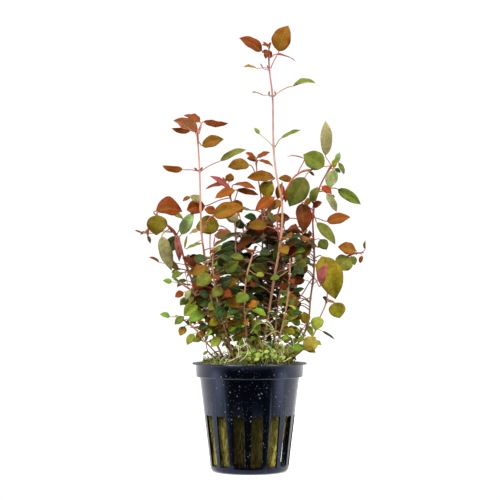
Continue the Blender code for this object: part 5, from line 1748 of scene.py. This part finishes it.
# %% The wool
WOOL_ROWS = 40
WOOL_STEPS = 120
WOOL_RADIUS = 14.1
WOOL_FLARE = 6.2
WOOL_LUMPS = 0.9
WOOL_ROUGH = 0.45
WOOL_LEAN = 1.7
WOOL_OLIVE = (0.25, 0.215, 0.035)
WOOL_BROWN = (0.022, 0.016, 0.005)
WOOL_PALE = (0.36, 0.31, 0.075)
WOOL_HOLLOW_SHADE = (0.014, 0.011, 0.004)
WOOL_RELIEF = 0.0006
FIBRES = 620
FIBRE_THICK = 0.1
FIBRE_TINT = (0.27, 0.225, 0.05)
FIBRES_TO = 27


def wool_finish():
    wool = Finish("rock wool", 0.1)
    place = wool.place()
    drawn = wool.add("ShaderNodeMapping", None, {"Vector": place, "Scale": (1, 1, 0.22)})
    patches = wool.cloud(150, 3, drawn)
    strands = wool.cloud(1700, 4, drawn, 0.7)
    colour = wool.mix(patches.between(0.36, 0.66), WOOL_BROWN, WOOL_OLIVE)
    colour = wool.mix(strands.between(0.45, 0.80), colour, WOOL_PALE)
    # Painted shade: near black in the hollows, where the strands are lowest.
    colour = wool.mix(strands.between(0.28, 0.48), WOOL_HOLLOW_SHADE, colour)
    # Painted light and shade: the plug is lighter at its left and right sides and darker towards the front and
    # back.
    x, _, _ = wool.split(place)
    painted_side_light = abs(x + 0.001).between(0.006, 0.013)
    colour = wool.scaled(colour, painted_side_light * 1.25 + 0.30)
    wool.bump(strands, WOOL_RELIEF)
    return wool.coat(colour, 0.9)


def root_finish():
    root = Finish("fibre", 0.12, (1.0, 0.85, 0.6))
    tint = root.attribute("tint", "Color")
    return root.coat(root.scaled(tint, root.cloud(500, 2) * 0.8 + 0.6), 0.55)


WOOL = wool_finish()
FIBRE = root_finish()


def wool_point(turn, height, out=0.0):
    """A point of the plug's side, roughened by noise that is drawn out along its height."""
    x, y = math.cos(turn), math.sin(turn)
    lumps = noise.noise(Vector((x * 9, y * 9, height / 7))) * WOOL_LUMPS
    rough = noise.noise(Vector((x * 30, y * 30, height / 3))) * WOOL_ROUGH
    flare = WOOL_FLARE * (height - PLUG_FOOT) / (PLUG_TOP - PLUG_FOOT)
    radius = WOOL_RADIUS + flare + lumps + rough + out
    return radius * x - WOOL_LEAN * (1 - height / PLUG_TOP), radius * y, height


def wool_body():
    """The points of a cylinder whose rings are taken to the plug's rough side, and its faces."""
    pattern = tube_pattern(WOOL_ROWS, WOOL_STEPS)
    points = []
    for x, y, z in pattern.points:
        height = PLUG_FOOT + (PLUG_TOP - PLUG_FOOT) * z
        in_middle = abs(x) + abs(y) < 0.01
        points.append((0, 0, height) if in_middle else wool_point(math.atan2(y, x), height))
    return np.array(points), pattern.faces


def wool_plug():
    """The plug's body and its loose fibres. Those at its sides are painted lighter, and those towards its
    front and back darker, as light and shade.
    """
    piece = Piece()
    piece.add(*wool_body(), 0)
    draw = random.Random(SEED + 7)
    for _ in range(FIBRES):
        turn, height = draw.uniform(0, math.tau), draw.uniform(PLUG_FOOT + 1, FIBRES_TO)
        steep, long = draw.gauss(0, 0.25), draw.uniform(3, 9)
        ends = []
        for share in (0, 0.5, 1):
            out = 0.1 + 0.5 * math.sin(math.pi * share) * draw.uniform(0.2, 1)
            place = min(height + long * share, PLUG_TOP - 1)
            ends.append(wool_point(turn + steep * share * long / 17, place, out))
        points = laid_along(SMALL_TUBE, smooth_route(ends, SMALL_RINGS), [FIBRE_THICK] * SMALL_RINGS)
        # Each fibre's random tone, times painted light that is brighter at the plug's left and right sides.
        light = draw.uniform(0.4, 1.1) * np.interp(abs(points[0][0] + 1), (6, 13), (0.3, 1.1))
        piece.add(points, SMALL_TUBE.faces, 1, tint=[value * light for value in FIBRE_TINT])
    return piece.made("wool_plug", (WOOL, FIBRE), "rock_wool", "rock_wool")


print("wool:", len(wool_plug().data.polygons), "faces")

# %% [markdown]
# On top lies a mat of matted roots, with a cushion of moss on its left. Pale threads and cream roots loop
# over it, and tiny bright shoots grow out of it between the stems. The mat is a drum whose upper rings are
# taken to the mat's height, and the moss is some two thousand pointed leaflets, each a copy of one shape.

# %% The mat, the moss and the threads
MAT_ROWS = 30
MAT_STEPS = 96
MAT_ROUGH = 0.35
# The drum's rings keep the full radius low down, and are drawn in as they rise
DRUM_TOP = 1.12
DRUM_SLOPE = 1.08
MAT_DARK = (0.012, 0.018, 0.004)
MAT_GREEN = (0.075, 0.085, 0.015)
MAT_TAN = (0.20, 0.18, 0.06)
MAT_RELIEF = 0.0008
MOSS = 2200
MOSS_GREEN = (0.050, 0.075, 0.008)
MOSS_GREEN_SHARE = 0.85
MOSS_YELLOW = 0.12
THREADS = 290
THREAD_TINTS = ((0.36, 0.34, 0.15), (0.26, 0.30, 0.07), (0.46, 0.43, 0.26), (0.18, 0.24, 0.03),
                (0.26, 0.14, 0.06))
ROOT_CREAM = (0.50, 0.47, 0.28)
ROOT_THICK = (0.21, 0.11)
# The cream roots: x, depth and height of the points that each runs through
ROOTS = [
    ((5.7, -18.5, 57.7), (8.2, -19.8, 60.8), (11.4, -19.8, 62.6), (14, -18.5, 62.2)),
    ((6.2, -18.5, 57), (8.6, -19.8, 56), (10, -19.8, 53.5), (10.2, -19.8, 50), (10.5, -19.8, 48.8)),
    ((-4.6, -19.8, 49), (-2.6, -21.1, 50.5), (-0.9, -21.1, 53), (-0.9, -21.1, 55.4), (-2.8, -21.1, 56.6),
     (-4.4, -19.8, 55.6)),
    ((-9.5, -19.8, 49), (-7, -21.1, 50.2), (-4, -21.1, 51.6), (-2.5, -19.8, 51.8)),
    ((-13.4, -18.5, 48.9), (-12.4, -19.8, 50.2), (-11.2, -19.8, 51.4)),
    ((-6.5, -21.1, 56.5), (-5, -22.4, 54.5), (-5.2, -22.4, 52), (-7.5, -21.1, 49.5)),
    ((-3.1, -19.8, 59.7), (-2, -21.1, 57), (-0.3, -21.1, 56.2), (1.2, -19.8, 53)),
    ((18.8, -13.2, 51), (16.5, -15.8, 49.6), (15, -17.2, 48.8)),
    ((3, -19.8, 66), (6, -21.1, 68), (9.5, -21.1, 66), (11.5, -19.8, 62), (12, -18.5, 58)),
    ((0.5, -21.1, 62), (3, -22.4, 65.5), (6.5, -22.4, 66.5), (10, -21.1, 64.5)),
    ((-8.5, -21.1, 60), (-6.5, -22.4, 57), (-3.6, -22.4, 55.5), (-1.2, -21.1, 57.5)),
    ((12.5, -19.8, 60), (15, -19.8, 57), (15.5, -18.5, 53.5), (14, -17.2, 50.5)),
    ((16, -17.2, 62), (18.5, -17.2, 60.5), (20, -15.8, 57), (19.5, -14.5, 53)),
    ((-12, -18.5, 56), (-10, -19.8, 54.5), (-9, -19.8, 52), (-10, -18.5, 49.8)),
    ((-15, 9, 49), (-17, 7, 52.5), (-16, 3, 53), (-15.4, 0, 50)),
    ((-4, 15, 49), (-1, 18, 54), (4, 19, 55), (8, 16, 50)),
    ((12, 12, 49), (15, 13, 52), (18, 9, 53), (18.6, 5, 49)),
]


def mat_finish():
    mat = Finish("root mat", 0.1)
    lumps = mat.cloud(400, 4)
    strands = mat.cloud(1500, 4)
    colour = mat.mix(lumps.between(0.35, 0.65), MAT_DARK, MAT_GREEN)
    colour = mat.mix(strands.between(0.45, 0.65), colour, MAT_TAN)
    mat.bump(strands * 0.6 + lumps * 0.5, MAT_RELIEF)
    return mat.coat(colour, 0.9)


MAT = mat_finish()


def on_mat(draw):
    """A point of the mat's upper face."""
    turn, far = draw.uniform(0, math.tau), (MAT_RADIUS - 1) * math.sqrt(draw.random())
    x, y = far * math.cos(turn), far * math.sin(turn)
    return Vector((x, y, mat_height(x, y)))


def mat_cushion():
    """The mat's body: a drum whose upper rings are drawn in and taken to the mat's height."""
    pattern = tube_pattern(MAT_ROWS, MAT_STEPS)
    points = []
    for x, y, z in pattern.points:
        share = min(max(DRUM_TOP - z * DRUM_SLOPE, 0.04), 1.0)
        if abs(x) + abs(y) < 0.01:
            points.append((0, 0, mat_height(0, 0) if z > 0.5 else MAT_FOOT))
        elif z < 0.05:
            points.append((x * MAT_RADIUS, y * MAT_RADIUS, MAT_FOOT))
        else:
            px, py = x * MAT_RADIUS * share, y * MAT_RADIUS * share
            rough = MAT_ROUGH * noise.noise(Vector((px, py, 0)) * 1.4)
            points.append((px, py, mat_height(px, py) + rough))
    piece = Piece()
    piece.add(np.array(points), pattern.faces, 0)
    return piece.made("root_mat_body", (MAT,), "root_mat", "root_mat")


def leaflet(piece, place, way, size, tint):
    """One pointed leaflet as a closed sliver: four faces at its foot and four at its tip."""
    side = across(way)
    up = side.cross(way)
    belly = place + way * size * 0.45
    points = [place, belly + side * size * 0.2, belly + up * size * 0.09, belly - side * size * 0.2,
              belly - up * size * 0.03, place + way * size]
    faces = [(0, 1, 2), (0, 2, 3), (0, 4, 1), (0, 3, 4), (5, 2, 1), (5, 3, 2), (5, 1, 4), (5, 4, 3)]
    piece.add(np.array([tuple(point) for point in points]), faces, 0, tint=tint)


def moss():
    """Moss leaflets, thick on the cushion and thin elsewhere."""
    draw = random.Random(SEED + 8)
    piece = Piece()
    grown_here = 0
    while grown_here < MOSS:
        place = on_mat(draw)
        mound = math.exp(-((place.x - CUSHION[0]) ** 2 + (place.y - CUSHION[1]) ** 2) / 70)
        if draw.random() > 0.03 + mound:
            continue
        way = Vector((draw.gauss(0, 0.9), draw.gauss(0, 0.9), 1)).normalized()
        light = draw.uniform(0.5, 1.3)
        tint = [value * light for value in MOSS_GREEN]
        if draw.random() >= MOSS_GREEN_SHARE:
            tint = (MOSS_YELLOW * light, MOSS_YELLOW * light, 0.02)
        leaflet(piece, place - way * 0.2, way, draw.uniform(0.5, 1.15), tint)
        grown_here += 1
    return piece.made("moss", (FIBRE,), "root_mat", "root_mat")


def thread_route(draw):
    """A loop from one point of the mat to another. On the cushion it stays low."""
    start = on_mat(draw)
    out = level(draw.uniform(0, math.tau)) * draw.uniform(2, 7)
    end = start + out + shift(draw, 3, 3).to_3d()
    if end.xy.length > MAT_RADIUS - 0.5:
        end = Vector((*(end.xy.normalized() * (MAT_RADIUS - 1)), 0))
    loose = draw.choice((0, 0, 2, 6)) * draw.random()
    end.z = mat_height(end.x, end.y) + (loose if end.x > CUSHION_EDGE else 0)
    top = (start + end) / 2
    top.z = max(top.z + draw.uniform(1, 8) * (0.25 if top.x < CUSHION_EDGE else 1.0), 50.5)
    bent = top + shift(draw, 2, 2).to_3d() + UP * draw.uniform(-1.5, 1)
    return smooth_route([start, top, bent, end], STALK_RINGS)


def threads():
    """Pale threads that loop over the mat, and the cream roots."""
    draw = random.Random(SEED + 9)
    piece = Piece()
    for _ in range(THREADS):
        route = thread_route(draw)
        radii = [draw.uniform(0.07, 0.14)] * STALK_RINGS
        piece.add_rod(STALK_TUBE, route, radii, 0, tint=draw.choice(THREAD_TINTS))
    for places in ROOTS:
        route = smooth_route([in_view(*place) for place in places], ROOT_RINGS)
        piece.add_rod(ROOT_TUBE, route, np.linspace(*ROOT_THICK, ROOT_RINGS), 0, tint=ROOT_CREAM)
    return piece.made("threads_and_roots", (FIBRE,), "root_mat", "root_mat")


ROOT_RINGS = 24
ROOT_TUBE = tube_pattern(ROOT_RINGS, 7)
for made in (mat_cushion(), moss(), threads()):
    print(made.name, len(made.data.polygons), "faces")

# %% [markdown]
# Each tuft of the solid root mat stands for a young shoot. Here it has its thin stalk and its pairs of tiny
# bright leaves, up to the tuft's own tip. Lower ones fill the ground between the stems.

# %% The young shoots
LOW_SPROUTS = 160
SPROUT_TONES = ("bright", "lime", "lime", "green", "lime", "lime")
SPROUT_STALK = (0.20, 0.24, 0.06)
SPROUT_THICK = (0.2, 0.1)
SPROUT_STEP = 1.7


def sprout(piece, foot, tip, draw):
    """A thin stalk with pairs of tiny leaves, each pair smaller and square to the last."""
    middle = (foot + tip) / 2 + shift(draw, 0.8, 0.8).to_3d()
    route = smooth_route([foot, middle, tip], SMALL_RINGS)
    piece.add_rod(SMALL_TUBE, route, np.linspace(*SPROUT_THICK, SMALL_RINGS), 1, tint=SPROUT_STALK)
    pairs = max(2, int((tip - foot).length / SPROUT_STEP))
    turn = draw.uniform(0, math.pi)
    for number in range(pairs):
        share = 0.3 + 0.7 * number / pairs
        root = foot.lerp(tip, share)
        for half in (0, math.pi):
            out = level(turn + half + draw.uniform(-0.3, 0.3))
            out.z = draw.uniform(0.1, 0.9)
            out.normalize()
            length = draw.uniform(1.8, 3.8) * (1.2 - 0.6 * share)
            spec = rule_leaf("root_mat", root.z, length * 0.78, draw.choice(SPROUT_TONES))
            ends = root + out * 0.6, root + out * (0.6 + length)
            found = Placed(spec, root, *ends, draw.uniform(10, 60), paired=True)
            grow_leaf(piece, found, draw, small=True)
        turn += math.pi / 2


def young_shoots():
    draw = random.Random(SEED + 10)
    piece = Piece()
    for points, _ in sprouts:
        foot = sum(points[:-1], Vector()) / (len(points) - 1)
        sprout(piece, foot, points[-1] - UP * 0.6, draw)
    for _ in range(LOW_SPROUTS):
        foot = on_mat(draw)
        tip = foot + shift(draw, 2, 2).to_3d() + UP * draw.uniform(2.5, 9.0)
        if tip.xy.length < RIM_RADIUS - 3 and tip.x > CUSHION_EDGE:
            sprout(piece, foot, tip, draw)
    return piece.made("young_shoots", (LEAF, STEM), "root_mat", "root_mat")


print("young shoots:", len(young_shoots().data.polygons), "faces")

# %% [markdown]
# The photograph has a white ground, soft light from all around, and the camera a little above the pot's rim.
# Plain white from every side would leave a black gloss flat and grey. So the camera sees white, but the light
# has a dark band in front, where the photographer stands, a half-dark one behind, and a bright panel on each
# side. Two soft lamps above give the leaves their shape, and the pale floor ends just in front of the pot, so
# that the pot mirrors little of it. The lens and the camera's height follow from the plan's line of sight.

# %% The stage, the lights and the camera
PICTURE_WIDTH = 226.85
PICTURE_MIDDLE = 99.6
SENSOR = 36.0
FLOOR_SIZE = 8.0
FLOOR_FRONT = 0.0215
CAMERA_WHITE = 1.05
SKY_LIGHT = 1.15
# How bright the dark band is in front and behind, how high it lies, and where it starts and ends
DARK_FRONT = 0.03
DIM_BACK = 0.30
DARK_HEIGHT = -0.20
BAND_EDGE = (0.36, 0.50)
FRONT_EDGE = (-0.58, -0.30)
BACK_EDGE = (0.0, 0.35)
SIDE_PANELS = 2.6
PANEL_SIDE = (0.80, 0.97)
PANEL_TOP = (0.3, 0.7)


def white_studio():
    """The light by direction, from -1 to 1 along each axis. The camera itself sees plain white."""
    world = bpy.data.worlds.new("white studio")
    sky = Tree(world)
    x, y, z = sky.split(sky.add("ShaderNodeTexCoord", output="Generated"))
    band = 1 - abs(z - DARK_HEIGHT).between(*BAND_EDGE)
    front = (1 - y.between(*FRONT_EDGE)) * band * (1 - DARK_FRONT)
    back = y.between(*BACK_EDGE) * (1 - DIM_BACK) * band
    panels = abs(x).between(*PANEL_SIDE) * SIDE_PANELS * (1 - abs(z).between(*PANEL_TOP))
    light = (1 - front - back) * SKY_LIGHT + panels
    seen = sky.add("ShaderNodeLightPath", output="Is Camera Ray")
    background = sky.nodes["Background"].inputs
    sky.feed(background["Strength"], light * (1 - seen) + seen * CAMERA_WHITE)
    sky.feed(background["Color"], (1, 1, 1, 1))
    bpy.context.scene.world = world


def soft_lamp(name, place, aim, size, watts):
    lamp = bpy.data.lights.new(name, "AREA")
    lamp.size = size
    lamp.energy = watts
    holder = bpy.data.objects.new(name, lamp)
    holder.location = place
    holder.rotation_euler = (Vector(aim) - Vector(place)).to_track_quat("-Z", "Y").to_euler()
    bpy.context.scene.collection.objects.link(holder)


def pale_floor():
    bpy.ops.object.select_all(action="DESELECT")
    bpy.ops.mesh.primitive_plane_add(size=FLOOR_SIZE, location=(0, FLOOR_SIZE / 2 - FLOOR_FRONT, -0.0002))
    floor = bpy.context.object
    floor.name = "floor"
    paint = Finish("floor", 0.2, glow=0.45)
    floor.data.materials.append(paint.coat((0.5, 0.5, 0.5, 1), 0.6))


def photo_camera():
    camera = bpy.data.objects.new("camera", bpy.data.cameras.new("camera"))
    camera.data.sensor_width = SENSOR
    camera.data.lens = SENSOR * EYE_DISTANCE / PICTURE_WIDTH
    camera.location = (0.0002, -EYE_DISTANCE * MM, EYE_HEIGHT * MM)
    rise = math.atan((PICTURE_MIDDLE - EYE_HEIGHT) / EYE_DISTANCE)
    camera.rotation_euler = (math.pi / 2 + rise, 0, 0)
    bpy.context.scene.collection.objects.link(camera)
    bpy.context.scene.camera = camera


white_studio()
soft_lamp("lamp above left", (-0.5, -0.6, 0.9), (0, 0, 0.1), 0.5, 20)
soft_lamp("lamp above right", (0.6, -0.4, 0.7), (0, 0, 0.1), 0.4, 9)
pale_floor()
photo_camera()
bpy.context.scene.view_settings.view_transform = "Standard"

# %% [markdown]
# The fine pieces must not make the part larger or smaller than its solids. The solids' box is printed again.

# %% The sizes
print("solids", in_mm(cad_box))
